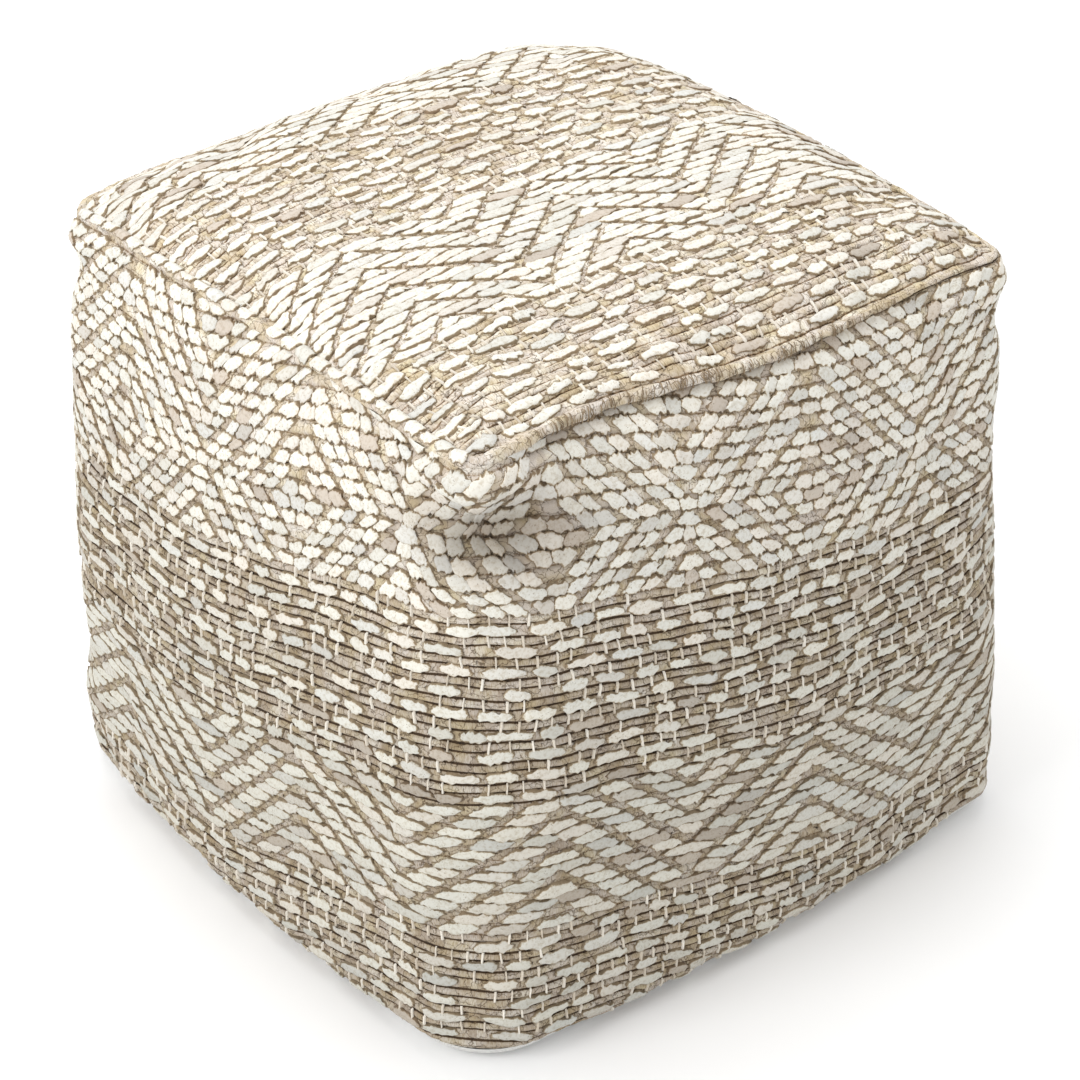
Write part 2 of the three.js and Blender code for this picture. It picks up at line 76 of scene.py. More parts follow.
WALL_W = 457  # width of each wall's cloth
FOOT_TURN = BASE_ROUND * math.pi / 2
STRAIGHT_H = SEAM_Z - BASE_ROUND  # wall cloth above the rounded foot
EDGE_TURN = BASE_ROUND * (math.pi / 2 - math.acos((BASE_ROUND - EDGE_MID_Z) / BASE_ROUND))
BAND_H = STRAIGHT_H + EDGE_TURN  # height of the band's cloth
COARSE = 7.2  # spacing of the grid that is shaped, and simulated
REFINE = 3  # how much finer the grid is that carries the weave
BAND_COLUMNS = 4 * round(WALL_W / COARSE)
BAND_ROWS = round(BAND_H / COARSE)

DRAFT_ABOVE = 80  # how far above the seam the band's draft starts
BOW_RIGHT = 44  # how far the band's rows dip along the wall right of the front corner
BOW_LEFT = 56  # and along the one left of it
BOW_REACH = 0.75  # share of the wall over which they do
DIAMOND_ROWS = 19
DIAMOND_MIDDLE = 14  # row of a diamond's centre, counted from the top
DIAMOND_PITCH = 9.3
CHEVRON_ROWS = 12
CHEVRON_PITCH = 8.1
STRIP_H = 8.8  # a leather row of the dashed zones
GROUND_H = 5.8  # and the hemp row above it
UPPER_DASHES = 9
MOTIF = 205  # width of one chevron or diamond on the band
TOP_MOTIF = 144  # and on the seat
CHEVRON_L = 23  # length of a leather float in the band's chevrons
TOP_CHEVRON_L = 26  # in the seat's
DIAMOND_L = 25  # and in the diamonds
FLOAT_PITCH = 31.2
STEP = 10.4  # how far each row's floats step sideways
APEX_S = 2 * WALL_W + 52  # where a chevron's point stands on the band
TOP_APEX_S = 79
DASH_L = 24
DASH_GAP = 3
WARP_PITCH = 12
WARP_W = 1.5
WARP_SHOWN = 0.72  # share of the warp threads that cross over a hemp row
PAD_EDGE = -1.4  # how deep a float's edge tucks in
RIDGE_FLOAT = (15, 16.5)  # length and pitch of the floats on the rolled seam
RIDGE_BARE = (675, 700)  # where that seam has none
# How far each kind of hemp row stands up
GROUND_TALL = {"ground": 2.0, "strip": 1.3, "chevron": 1.5, "diamond": 1.9, "ridge": 1.2}
# The next two set the painted shade in the gaps between hemp rows
FIGURED_GROOVE_SHADE = 0.72  # how deep and dark the gaps between hemp rows are in the figured zones, up to 1
SEAT_GROOVE_SHADE = 0.82  # and in the seat's dashed ones

# ---- simulation ----

FILL_PRESSURE = 0.5
CLOTH_EASE = 0.015  # how much fuller than its frame the cloth is cut
SIM_STEPS = 14
SIM_CAP = 4.0  # most that a point moves, in millimetres

# ---- inside and zip, in millimetres ----

LINER_INSET = 18
FILL_INSET = 22
TAPE_REACH = 149.7
TAPE_SPAN = (0.7, 11.7)  # from the zip's centre line to a tape's edges
TAPE_T = 0.9
TAPE_TUCK = 7  # how far a tape runs on under the cloth at each end
TAPE_Y = 238.0  # outer face of the tapes
COIL_Y = 239.3
COIL_REACH = 140.2
COIL_MIDDLE = 1.8  # from the zip's centre line to the middle of a coil
TOOTH_PITCH = 2.2
FOLD_R = 2.0  # roll of the cloth along each side of the zip
STITCH_OUT = {1: 3.4, -1: 0.7}  # how far the stitches above and below the zip stand off the wall's foot
STITCH_UP = 9.2  # from the zip's centre line to its stitches
STITCH_L = 5.0
STITCH_GAP = 2.2
TACK_IN = 2.2  # how far inside the tapes' ends the end tacks are
LABEL_PLACE = (-104, 70)
LABEL_SIZE = (34, 20)
LABEL_OUT = 3.2
WORN_EDGE = 0.18  # how far the metal pieces' edges are rounded

# ---- seams, corners and creases, in millimetres ----

RIDGE_R = 4.8  # radius of the rolled seam round the seat, where it is full
RIDGE_ARC = (-70, 215)  # how far round it the weave shows, in degrees from straight out
RIDGE_PLACES = (0, 330, 480, 914, 1140, 1330, 1828)  # along the band
RIDGE_SIZES = (0.3, 0.35, 0.75, 1.0, 0.95, 0.4, 0.3)  # share of the full radius at those places
FRAY_COUNT = 150  # dark fibre ends that lie across the front of that seam
FRAY_R = 0.28
CORNER_EAR = np.array([-6.0, -1.0, 3.0, 1.0])  # how far each corner of the seam is drawn out
CORNER_RISE = np.array([-10.0, -5.0, 3.0, -4.0])  # and up
EAR_REACH = np.array([46.0, 34.0, 30.0, 34.0])  # how far round the corner that reaches
CORNER_LIP = np.array([0.0, 1.0, 8.0, 1.0])  # how far the wall rolls out over each corner
CORNER_HOLLOW = np.array([3.0, 4.0, 19.0, 4.0])  # how deep the hollow under each corner is
SEAM_LIFT = 5.0  # how far the full seat carries the whole seam up
# Where the seam is drawn back onto the seat: middle, reach each way, and pull
SEAM_PULLS = (
    ((-120, -226, 434), (80, 45, 28), (0, 12, 4)),
    ((-226, -20, 434), (45, 120, 28), (9, 0, 3)),
)
FULLNESS = 6.0  # how far the cloth swells beside the seam

# ---- floor, light and camera ----

FLOOR_REACH = 6000  # in millimetres
SKY = 0.92  # strength of the light from all round
# Each lamp's name, its place and size in metres, and its power
LAMPS = (
    ("overhead_light", (0.2, 0.4, 2.6), 1.8, 23),
    ("left_light", (-2.6, 0.0, 1.8), 1.6, 34),
)
LAMP_TARGET = Vector((0, 0, 0.2))
AZIMUTH = -38.8  # of the camera about its target, in degrees
ELEVATION = 33.15
DISTANCE = 2.26  # from the camera to its target, in metres
TARGET = Vector((0, 0, 0.211))
LENS = 110
SHIFT = (0.0086, -0.0171)  # of the picture, in shares of its width

UP = np.array([0, 0, 1])


def mix(a, b, t):
    return a + (b - a) * t


def smooth(value):
    t = np.clip(value, 0, 1)
    return t * t * (3 - 2 * t)


def bump_at(value, centre, width):
    return np.exp(-(((value - centre) / width) ** 2))


def assign(target, **values):
    """Sets several properties of a Blender thing."""
    for key, value in values.items():
        setattr(target, key, value)
    return target


def add_to_scene(name, data):
    thing = bpy.data.objects.new(name, data)
    bpy.context.scene.collection.objects.link(thing)
    return thing


# ---- shape formulas, the same as the CAD's ----


def swell(x, y, half, amount):
    """Moves points of a square plan outwards, most at the middle of each side."""

    def reach(across):
        return np.cos(np.pi / 2 * np.minimum(1, np.abs(across) / half)) ** 2

    return x + amount * (x / half) * reach(y), y + amount * (y / half) * reach(x)


def wall_share(z):
    return np.clip((z - WALL_FOOT_Z) / (SEAM_Z - WALL_FOOT_Z), 0, 1)


def plan_numbers(depth):
    """Half width, corner radii, wall swells and height of the plan at a cloth depth below the top seam."""
    if depth <= STRAIGHT_H:
        z = SEAM_Z - depth
        share = wall_share(z)
        full = math.sin(math.pi * share) ** 2
        ends = BASE_CORNERS if share < 0.5 else TOP_CORNERS
        half = mix(BASE_HALF, SEAM_HALF, share) + BULGE * full
        swells = mix(mix(BASE_SWELLS, SEAM_SWELL, share), WALL_SWELL, full)
        return half, mix(ends, MID_CORNERS, full), swells, z
    angle = math.pi / 2 - (depth - STRAIGHT_H) / BASE_ROUND
    out = BASE_ROUND * math.sin(angle) - BASE_ROUND
    return BASE_HALF + out, BASE_CORNERS + out, BASE_SWELLS, BASE_ROUND * (1 - math.cos(angle))


def wall_run(half, start, end, amount, count):
    """Points at equal spacing along one wall's plan, from corner bisector to corner bisector, facing +Y."""
    turn = np.linspace(math.pi / 4, math.pi / 2, 24)
    first = np.stack([half - start + start * np.cos(turn), half - start + start * np.sin(turn)], 1)
    last = np.stack([end * np.cos(turn) + half - end, end * np.sin(turn) + half - end], 1)[::-1]
    last[:, 0] *= -1
    side_x = np.linspace(half - start, end - half, 80)[1:-1]
    side = np.stack([side_x, np.full_like(side_x, half)], 1)
    path = np.concatenate([first, side, last])
    x, y = swell(path[:, 0], path[:, 1], half, amount)
    length = np.concatenate([[0], np.cumsum(np.hypot(np.diff(x), np.diff(y)))])
    wanted = np.linspace(0, length[-1], count + 1)[:-1]
    return np.interp(wanted, length, x), np.interp(wanted, length, y)


def plan_ring(depth, count):
    """The whole plan at a depth, `count` points to a wall: back, left, front and right wall."""
    half, corners, swells, z = plan_numbers(depth)
    ring = []
    for wall in range(4):
        x, y = wall_run(half, corners[wall], corners[(wall + 1) % 4], swells[wall], count)
        for _ in range(wall):
            x, y = -y, x
        ring.append(np.stack([x, y, np.full_like(x, z)], 1))
    return np.concatenate(ring)


def edge_depths(ring, fold_side=1):
    """Cloth depth of the band's lower edge at each column of the foot's plan.

    `fold_side` is 1 for the edge above the zip, and -1 for the base panel's edge below it.
    """
    x, y = ring[:, 0], ring[:, 1]
    nearest = np.minimum(np.abs(x), np.abs(y)) / BASE_HALF
    corner = smooth((nearest - EDGE_RISE[0]) / EDGE_RISE[1])
    back = smooth((y / BASE_HALF - EDGE_BACK[0]) / EDGE_BACK[1])
    fold = fold_side * (ZIP_SLOT / 2) * back * smooth((ZIP_HALF + 8 - np.abs(x)) / 10)
    z = mix(mix(EDGE_MID_Z, EDGE_CORNER_Z, corner), ZIP_Z, back) + fold
    low = np.arccos(np.clip((BASE_ROUND - z) / BASE_ROUND, -1, 1))
    return np.where(z >= BASE_ROUND, SEAM_Z - z, STRAIGHT_H + BASE_ROUND * (math.pi / 2 - low))


def wall_points(depths):
    """Points of the walls' surface at cloth depths given as rows of one depth to a column."""
    samples = np.linspace(0, BAND_H, 145)
    rings = np.stack([plan_ring(depth, BAND_COLUMNS // 4) for depth in samples])
    place = depths / samples[1]
    low = np.clip(place.astype(int), 0, len(samples) - 2)
    column = np.broadcast_to(np.arange(BAND_COLUMNS), depths.shape)
    return mix(rings[low, column], rings[low + 1, column], (place - low)[..., None])


def band_depths(even):
    """Cloth depths of the band's grid: rows straight as woven, or spread evenly down to the lower edge."""
    edge = edge_depths(plan_ring(STRAIGHT_H, BAND_COLUMNS // 4))
    share = np.linspace(1, 0, BAND_ROWS + 1)[:, None]
    return share * edge if even else np.minimum(share * BAND_H, edge)


def base_rings():
    """The base panel's surface as closed rings, from its edge round the foot and in to its middle."""
    count = BAND_COLUMNS // 4
    end = STRAIGHT_H + FOOT_TURN
    depths = np.linspace(SEAM_Z - ZIP_Z, end, 41)
    rings = np.stack([plan_ring(depth, count) for depth in depths])
    edge = edge_depths(plan_ring(STRAIGHT_H, count), -1)
    column = np.arange(rings.shape[1])
    made = []
    for share in np.linspace(0, 1, 9):
        place = (mix(edge, end, share) - depths[0]) / (depths[1] - depths[0])
        low = np.clip(place.astype(int), 0, len(depths) - 2)
        made.append(mix(rings[low, column], rings[low + 1, column], (place - low)[:, None]))
    for share in (0.93, 0.8, 0.6, 0.4, 0.2, 0.05):
        made.append(made[8] * np.array([share, share, 1]) + np.array([0, 0, BASE_LIFT * (1 - share)]))
    return np.stack(made)[::-1]


def body_rings(inset, count):
    """The stuffed body as closed rings from the floor to the crown, drawn in by `inset` all over."""
    walls = []
    for depth in np.linspace(STRAIGHT_H + FOOT_TURN, 0, 30):
        ring = plan_ring(depth, count)
        ring[:, :2] *= 1 - inset / BASE_HALF
        ring[:, 2] = inset + ring[:, 2] * (1 - 2 * inset / SEAM_Z)
        walls.append(ring)
    made = [walls[0] * np.array([share, share, 1]) for share in (0.2, 0.7)] + walls
    rim = walls[-1]
    for share in (0.9, 0.7, 0.45, 0.15):
        rise = CROWN * (1 - share**2.5)
        made.append(rim * np.array([share, share, 1]) + np.array([0, 0, rise]))
    return np.stack(made)


def top_points():
    """The seat's surface as rows of points, from the front edge to the back one."""
    count = round(2 * SEAM_HALF / COARSE)
    a, b = np.meshgrid(np.linspace(-1, 1, count + 1), np.linspace(-1, 1, count + 1))
    corner_power = 28
    widest = np.maximum(np.maximum(np.abs(a), np.abs(b)), 1e-6)
    norm = np.maximum((np.abs(a) ** corner_power + np.abs(b) ** corner_power) ** (1 / corner_power), 1e-6)
    a2, b2 = a * widest / norm, b * widest / norm
    x, y = swell(a2 * SEAM_HALF, b2 * SEAM_HALF, SEAM_HALF, SEAM_SWELL)
    rise = ((1 - np.abs(a) ** 3) * (1 - np.abs(b) ** 3)) ** 0.8
    return np.stack([x, y, SEAM_Z + CROWN * rise], 2)


def wandered(s, t, height):
    """Where hand weaving leaves the draft's point at s and t: rows sway and floats drift a little."""
    turn = 2 * np.pi * s / (4 * WALL_W)
    inside_edges = np.sin(np.pi * np.clip(t / height, 0, 1)) ** 0.5
    sway = 0.9 * np.sin(7 * turn + t / 61) + 0.7 * np.sin(19 * turn - t / 23)
    sway = sway + 0.35 * np.sin(43 * turn + t / 9)
    drift = 1.1 * np.sin(t / 17 + 5 * turn) + 0.7 * np.sin(t / 6.1 - 11 * turn)
    return s + drift * inside_edges, t + sway * inside_edges


def band_foot(s):
    """Height on the band's cloth of its lower edge at s."""
    edge = BAND_H - edge_depths(plan_ring(STRAIGHT_H, BAND_COLUMNS // 4))
    return np.interp(s % (4 * WALL_W), np.linspace(0, 4 * WALL_W, len(edge) + 1), np.append(edge, edge[0]))


def band_bow(s):
    """How far the band's rows have dipped at s: nothing at the front corner, and most along the walls."""
    offset = s % (4 * WALL_W) - 2 * WALL_W
    walls = 1 - np.abs(1 - np.abs(offset) / WALL_W)
    return np.where(offset > 0, BOW_RIGHT, BOW_LEFT) * smooth(walls / BOW_REACH)


def band_painted_shade(s, depth):
    """How much painted shade darkens the band, in the hollow under the front corner and the crease under the
    front seam.
    """
    from_corner = s - 2 * WALL_W
    hollow = bump_at(depth, 48, 24) * bump_at(from_corner, 14, 62)
    crease = bump_at(depth, 0, 6) * smooth((from_corner - 20) / 60) * smooth((WALL_W - from_corner) / 200)
    return np.minimum(hollow + crease, 1)


class Panel:
    """A panel of the cover as a grid of points that carries the weave."""

    # The last argument gives the painted shade of the hollow and crease at each point
    def __init__(self, points, step_s, step_t, closed, bow=None, foot=None, soil_and_painted_shade=None):
        self.points, self.closed, self.bow, self.foot, self.soil_and_painted_shade = points, closed, bow, foot, soil_and_painted_shade
        self.step_s, self.step_t = step_s, step_t
        self.height = step_t * (points.shape[0] - 1)
        wide = np.concatenate([points[:, -2:], points, points[:, :2]], 1) if closed else points
        along = np.gradient(wide, axis=1)
        if closed:
            along = along[:, 2:-2]
        across = np.gradient(points, axis=0)
        normals = np.cross(along, across)
        self.normals = normals / np.maximum(np.linalg.norm(normals, axis=2, keepdims=True), 1e-9)

    def placed(self, s, t):
        """Height on the panel of the draft's point at s and t."""
        return t - self.bow(s) if self.bow else t

    def shows(self, s, t):
        """Whether the draft's points at s and t are on the panel, by -1 below it, 1 above it and 0 on it."""
        placed = self.placed(s, t)
        foot = self.foot(s) if self.foot else 0
        return np.where(placed <= foot, -1, np.where(placed >= self.height, 1, 0))

    def at(self, s, t, lift):
        """Points over the cloth at the draft's s and t, `lift` above its surface."""
        s, t, lift = np.broadcast_arrays(s, t, lift)
        s, t = wandered(s, self.placed(s, t), self.height)
        rows, columns = self.points.shape[:2]
        row = np.clip(t / self.step_t, 0, rows - 1.001)
        column = s / self.step_s
        if not self.closed:
            column = np.clip(column, 0, columns - 1.001)
        r0, c0 = np.floor(row).astype(int), np.floor(column).astype(int)
        fr, fc = (row - r0)[..., None], (column - c0)[..., None]
        r1, c1 = r0 + 1, (c0 + 1) % columns
        c0 = c0 % columns

        def blend(grid):
            return mix(mix(grid[r0, c0], grid[r0, c1], fc), mix(grid[r1, c0], grid[r1, c1], fc), fr)

        return blend(self.points) + blend(self.normals) * lift[..., None]


def refined(points, axis, closed):
    """The grid with REFINE times as many points along an axis, on smooth curves through the old ones."""
    points = np.moveaxis(points, axis, 0)
    count = len(points)
    spans = count if closed else count - 1

    def shifted(by):
        index = np.arange(spans) + by
        return points[index % count if closed else np.clip(index, 0, count - 1)]

    p0, p1, p2, p3 = (shifted(by) for by in (-1, 0, 1, 2))
    pieces = []
    for step in range(REFINE):
        t = step / REFINE
        curve = 2 * p1 + (p2 - p0) * t + (2 * p0 - 5 * p1 + 4 * p2 - p3) * t**2
        pieces.append((curve + (3 * p1 - p0 - 3 * p2 + p3) * t**3) / 2)
    fine = np.stack(pieces, 1).reshape((spans * REFINE,) + points.shape[1:])
    if not closed:
        fine = np.concatenate([fine, points[-1:]])
    return np.moveaxis(fine, 0, axis)


def pushed(points, lift, closed):
    """The grid moved out along its own normals."""
    return points + Panel(points, 1, 1, closed).normals * lift[..., None]


def corner_offsets(s):
    """Distance along the band from each corner, back right first."""
    around = 4 * WALL_W
    return [(s - corner * WALL_W + around / 2) % around - around / 2 for corner in range(4)]


def shaped_band(depth):
    """The band as it hangs: full beside the seam, hollow under each pinched corner, and gently uneven."""
    points = wall_points(depth)
    s = np.broadcast_to(np.arange(BAND_COLUMNS) * 4 * WALL_W / BAND_COLUMNS, depth.shape)
    t = BAND_H - depth
    lift = FULLNESS * (1 - np.exp(-((depth / 14) ** 2))) * np.exp(-depth / 75)
    for corner, offset in enumerate(corner_offsets(s)):
        lift += CORNER_LIP[corner] * bump_at(depth, 12, 9) * bump_at(offset, 4, 30)
        lift -= CORNER_HOLLOW[corner] * bump_at(depth, 42, 19) * bump_at(offset, 6, 44)
        folds = np.sin(offset / 4.3 + 0.6 * np.sin(depth / 20)) * bump_at(np.abs(offset), 46, 26)
        lift += 0.9 * folds * np.exp(-depth / 70) * smooth(depth / 20)
    turn = 2 * np.pi * s / (4 * WALL_W)
    uneven = np.sin(9 * turn + t / 47) + np.sin(14 * turn - t / 31 + 2) + 0.6 * np.sin(27 * turn + t / 19)
    lift += 0.8 * uneven * np.sin(np.pi * t / BAND_H)
    return pinched(pushed(points, lift, True))


def shaped_seat(points):
    """The seat as it lies: full beside the seam and gently uneven."""
    size = 2 * SEAM_HALF
    count = points.shape[0]
    s, t = np.meshgrid(np.linspace(0, size, count), np.linspace(0, size, count))
    edge = np.minimum(np.minimum(s, size - s), np.minimum(t, size - t))
    lift = FULLNESS * (1 - np.exp(-((edge / 16) ** 2))) * np.exp(-edge / 60)
    uneven = np.sin(s / 33 + t / 41) + np.sin(s / 21 - t / 29 + 1) + 0.5 * np.sin(s / 13 + t / 17)
    lift += 0.7 * uneven * smooth(edge / 50)
    return pinched(pushed(points, lift, False))


def pinched(points):
    """Draws the cloth out or in at each top corner, back at the pulls in the seam, and up with the seat."""
    moved = points.copy()
    reach = SEAM_HALF - TOP_CORNERS[0] * (1 - math.sqrt(0.5))
    for corner, (side_x, side_y) in enumerate(((1, 1), (-1, 1), (-1, -1), (1, -1))):
        tip = np.array([side_x * reach, side_y * reach, SEAM_Z])
        away = np.linalg.norm(points - tip, axis=-1)
        out = CORNER_EAR[corner] * math.sqrt(0.5)
        pull = np.array([side_x * out, side_y * out, CORNER_RISE[corner]])
        moved += np.exp(-((away / EAR_REACH[corner]) ** 2))[..., None] * pull
    for place, reach, pull in SEAM_PULLS:
        away = ((points - np.array(place)) / np.array(reach)) ** 2
        moved += np.exp(-away.sum(-1, keepdims=True)) * np.array(pull)
    below = np.maximum(SEAM_Z - points[..., 2], 0)
    moved[..., 2] += SEAM_LIFT * np.exp(-((below / 90) ** 2))
    return moved


def seam_loop():
    """The seam round the seat as a closed line, and its directions out of the pouf."""
    loop = pinched(plan_ring(0, round(WALL_W / 3)))
    along = np.roll(loop, -1, 0) - np.roll(loop, 1, 0)
    out = np.stack([along[:, 1], -along[:, 0], np.zeros(len(loop))], 1)
    return loop, out / np.linalg.norm(out, axis=1, keepdims=True)


def ridge_points():
    """The rolled seam round the seat: rows run along it, and t goes round it from the wall to the seat."""
    loop, out = seam_loop()
    s = np.arange(len(loop)) * 4 * WALL_W / len(loop)
    full = np.interp(s, RIDGE_PLACES, RIDGE_SIZES)
    radius = RIDGE_R * full * (1 + 0.1 * np.sin(s / 8.3) + 0.08 * np.sin(s / 3.9 + 1))
    middle = loop - 2.0 * out + 1.2 * UP
    angles = np.radians(np.linspace(*RIDGE_ARC, 15))
    return np.stack([middle + radius[:, None] * (math.cos(a) * out + math.sin(a) * UP) for a in angles])


def panel_from(points, width, height, closed, *layout):
    """A panel of cloth of a given size, on a finer grid than the one that was shaped."""
    fine = refined(refined(points, 0, False), 1, closed)
    columns = fine.shape[1] if closed else fine.shape[1] - 1
    return Panel(fine, width / columns, height / (fine.shape[0] - 1), closed, *layout)


def settled_band():
    """The band after the filling has pressed it out, on the grid that carries the weave."""
    even, woven = band_depths(True), band_depths(False)
    moved = settled(shaped_band(even), True)
    place = np.clip((1 - woven / even[0]) * BAND_ROWS, 0, BAND_ROWS)
    low = np.minimum(place.astype(int), BAND_ROWS - 1)
    column = np.broadcast_to(np.arange(BAND_COLUMNS), low.shape)
    shift = mix(moved[low, column], moved[low + 1, column], (place - low)[..., None])
    return shaped_band(woven) + shift


def settled(points, closed):
    """How far the filling moves each point of a cloth that is cut full and sewn down round its edge."""
    rows, columns = points.shape[:2]
    piece = mesh_object("cut_cloth", points.reshape(-1, 3), grid_faces(rows, columns, closed), None)
    index = np.arange(rows * columns).reshape(rows, columns)
    edges = [index[0], index[-1]] if closed else [index[0], index[-1], index[:, 0], index[:, -1]]
    sewn = piece.vertex_groups.new(name="sewn")
    sewn.add(np.concatenate(edges).tolist(), 1.0, "REPLACE")
    cloth = piece.modifiers.new("filling", "CLOTH")
    assign(cloth.settings, quality=5, mass=0.3, tension_stiffness=15, compression_stiffness=15)
    assign(cloth.settings, shear_stiffness=5, bending_stiffness=0.5, vertex_group_mass=sewn.name)
    assign(cloth.settings, use_pressure=True, uniform_pressure_force=FILL_PRESSURE)
    assign(cloth.settings, shrink_min=-CLOTH_EASE, shrink_max=-CLOTH_EASE)
    cloth.settings.effector_weights.gravity = 0
    cloth.collision_settings.use_collision = False
    scene = bpy.context.scene
    for step in range(1, SIM_STEPS + 1):
        scene.frame_set(step)
    pressed = piece.evaluated_get(bpy.context.evaluated_depsgraph_get())
    ends = np.empty(rows * columns * 3, np.float32)
    pressed.data.vertices.foreach_get("co", ends)
    moved = ends.reshape(points.shape) / MM - points
    scene.frame_set(1)
    bpy.data.objects.remove(piece)
    reach = np.linalg.norm(moved, axis=-1, keepdims=True)
    return moved * SIM_CAP / np.sqrt(SIM_CAP**2 + reach**2)


# ---- meshes ----


def mesh_object(name, points, faces, look, attributes=None):
    """A smooth mesh of quads, with its points in millimetres."""
    mesh = bpy.data.meshes.new(name)
    mesh.vertices.add(len(points))
    mesh.vertices.foreach_set("co", (points * MM).astype(np.float32).ravel())
    mesh.loops.add(faces.size)
    mesh.loops.foreach_set("vertex_index", faces.astype(np.int32).ravel())
    mesh.polygons.add(len(faces))
    mesh.polygons.foreach_set("loop_start", np.arange(len(faces), dtype=np.int32) * faces.shape[1])
    mesh.update(calc_edges=True)
    mesh.shade_smooth()
    for key, values in (attributes or {}).items():
        layer = mesh.attributes.new(key, "FLOAT_COLOR", "POINT")
        layer.data.foreach_set("color", values.astype(np.float32).ravel())
    if look:
        mesh.materials.append(look)
    return add_to_scene(name, mesh)


def grid_faces(rows, columns, closed=False):
    """Quads between the points of a grid, with its last column joined to its first if it is closed."""
    row, column = np.meshgrid(np.arange(rows - 1), np.arange(columns - (not closed)), indexing="ij")
    after = (column + 1) % columns
    low, high = row * columns, (row + 1) * columns
    return np.stack([low + column, low + after, high + after, high + column], -1).reshape(-1, 4)


def ring_object(name, rings, look, lid=True):
    """A skin over closed rings, flat across the first ring, and across the last one if it has a lid."""
    levels, count = rings.shape[:2]
    faces = [tuple(range(count))[::-1]]
    for level in range(levels - 1):
        low, high = level * count, (level + 1) * count
        faces += [(low + i, low + (i + 1) % count, high + (i + 1) % count, high + i) for i in range(count)]
    if lid:
        faces.append(tuple(range((levels - 1) * count, levels * count)))
    mesh = bpy.data.meshes.new(name)
    mesh.from_pydata((rings.reshape(-1, 3) * MM).tolist(), [], faces)
    mesh.shade_smooth()
    mesh.materials.append(look)
    return add_to_scene(name, mesh)


def rods_object(name, routes, radius, look, sides=6):
    """Round rods along routes of the same number of points, each rounded off at its ends."""
    routes = np.asarray(routes, float)
    count, steps = routes.shape[:2]
    along = np.gradient(routes, axis=1)
    along /= np.linalg.norm(along, axis=2, keepdims=True)
    guide = np.array([0.31, 0.24, 0.92])
    across = np.cross(along, guide)
    across /= np.linalg.norm(across, axis=2, keepdims=True)
    up = np.cross(along, across)
    angle = np.linspace(0, 2 * math.pi, sides + 1)
    share = np.linspace(-1, 1, steps)
    thick = radius * np.sqrt(np.maximum(1 - share**8, 0.0004))[None, :, None, None]
    turn = np.cos(angle)[:, None] * across[:, :, None] + np.sin(angle)[:, None] * up[:, :, None]
    points = routes[:, :, None] + thick * turn
    template = grid_faces(steps, sides + 1)
    faces = (template[None] + np.arange(count)[:, None, None] * steps * (sides + 1)).reshape(-1, 4)
    return mesh_object(name, points.reshape(-1, 3), faces, look)


def cell_values(shape, light, hue, edge):
    """What the look of a patch is drawn from: how light it is, its hue, and how near its edge a point is; on
    the hemp ground that last value is the painted shade in the grooves between rows.
    """
    return np.stack(np.broadcast_arrays(light, hue, edge, np.ones(shape)), -1)


class Patches:
    """Many small patches of grid, gathered into one mesh."""

    def __init__(self, panel):
        self.panel, self.points, self.faces, self.cell, self.cloth = panel, [], [], [], []
        self.count = 0

    def add(self, s, t, lift, cell):
        """s, t and lift are (patches, rows, columns), and `cell` has four values at each of those points."""
        s, t, lift = np.broadcast_arrays(s, t, lift)
        patches, rows, columns = s.shape
        template = grid_faces(rows, columns)
        faces = (template[None] + np.arange(patches)[:, None, None] * rows * columns).reshape(-1, 4)
        side = self.panel.shows(s, t).ravel()[faces]
        shown = (side.max(1) > -1) & (side.min(1) < 1)
        self.faces.append(faces[shown] + self.count)
        self.points.append(self.panel.at(s, t, lift).reshape(-1, 3))
        self.cell.append(np.broadcast_to(cell, s.shape + (4,)).reshape(-1, 4))
        # The cloth attribute carries s and t, and in its third value the painted shade of the hollow and
        # crease
        soil_and_painted_shade = self.panel.soil_and_painted_shade(s, self.panel.height - self.panel.placed(s, t)) if self.panel.soil_and_painted_shade else 0 * s
        self.cloth.append(np.stack([s * MM, t * MM, soil_and_painted_shade, 1 + 0 * s], -1).reshape(-1, 4))
        self.count += s.size

    def build(self, name, look):
        used, faces = np.unique(np.concatenate(self.faces), return_inverse=True)
        points, cell, cloth = (np.concatenate(v)[used] for v in (self.points, self.cell, self.cloth))
        return mesh_object(name, points, faces.reshape(-1, 4), look, {"cell": cell, "cloth": cloth})


# ---- weave layout ----


def rows_of(zones, top):
    """Rows of the cloth from the top of a panel down: (kind, low t, high t, number within the zone)."""
    rows = []
    for kind, count, pitches in zones:
        for number in range(count):
            pitch = pitches[number % len(pitches)]
            name = kind if len(pitches) == 1 else ("ground", "strip")[number % 2]
            rows.append((name, top - pitch, top, number))
            top -= pitch
    return rows


def figured_floats(row, step, apex, motif, length, start, end):
    """Floats of a figured row, mirrored about each chevron point: (start, end, slant of start, slant of end).

    A slant says how far that end of the float leans outwards from its upper edge to its lower one.
    """
    half = motif / 2
    lean = 0.55 * step
    shapes = []
    for repeat in range(-1, math.ceil(half / FLOAT_PITCH) + 1):
        low = (step * row) % FLOAT_PITCH + FLOAT_PITCH * repeat
        near, far = max(low, 0), min(low + length, half)
        if far - near < 5:
            continue
        if near == 0:
            shapes.append((-far, far, -lean, lean))
        elif far == half:
            shapes.append((near, motif - near, lean, -lean))
        else:
            shapes += [(near, far, lean, lean), (-far, -near, -lean, -lean)]
    first, last = math.floor((start - apex) / motif) - 1, math.ceil((end - apex) / motif) + 1
    middles = [apex + motif * number for number in range(first, last + 1)]
    floats = [(m + a, m + b, lean_a, lean_b) for m in middles for a, b, lean_a, lean_b in shapes]
    return [f for f in sorted(floats) if f[1] > start and f[0] < end]


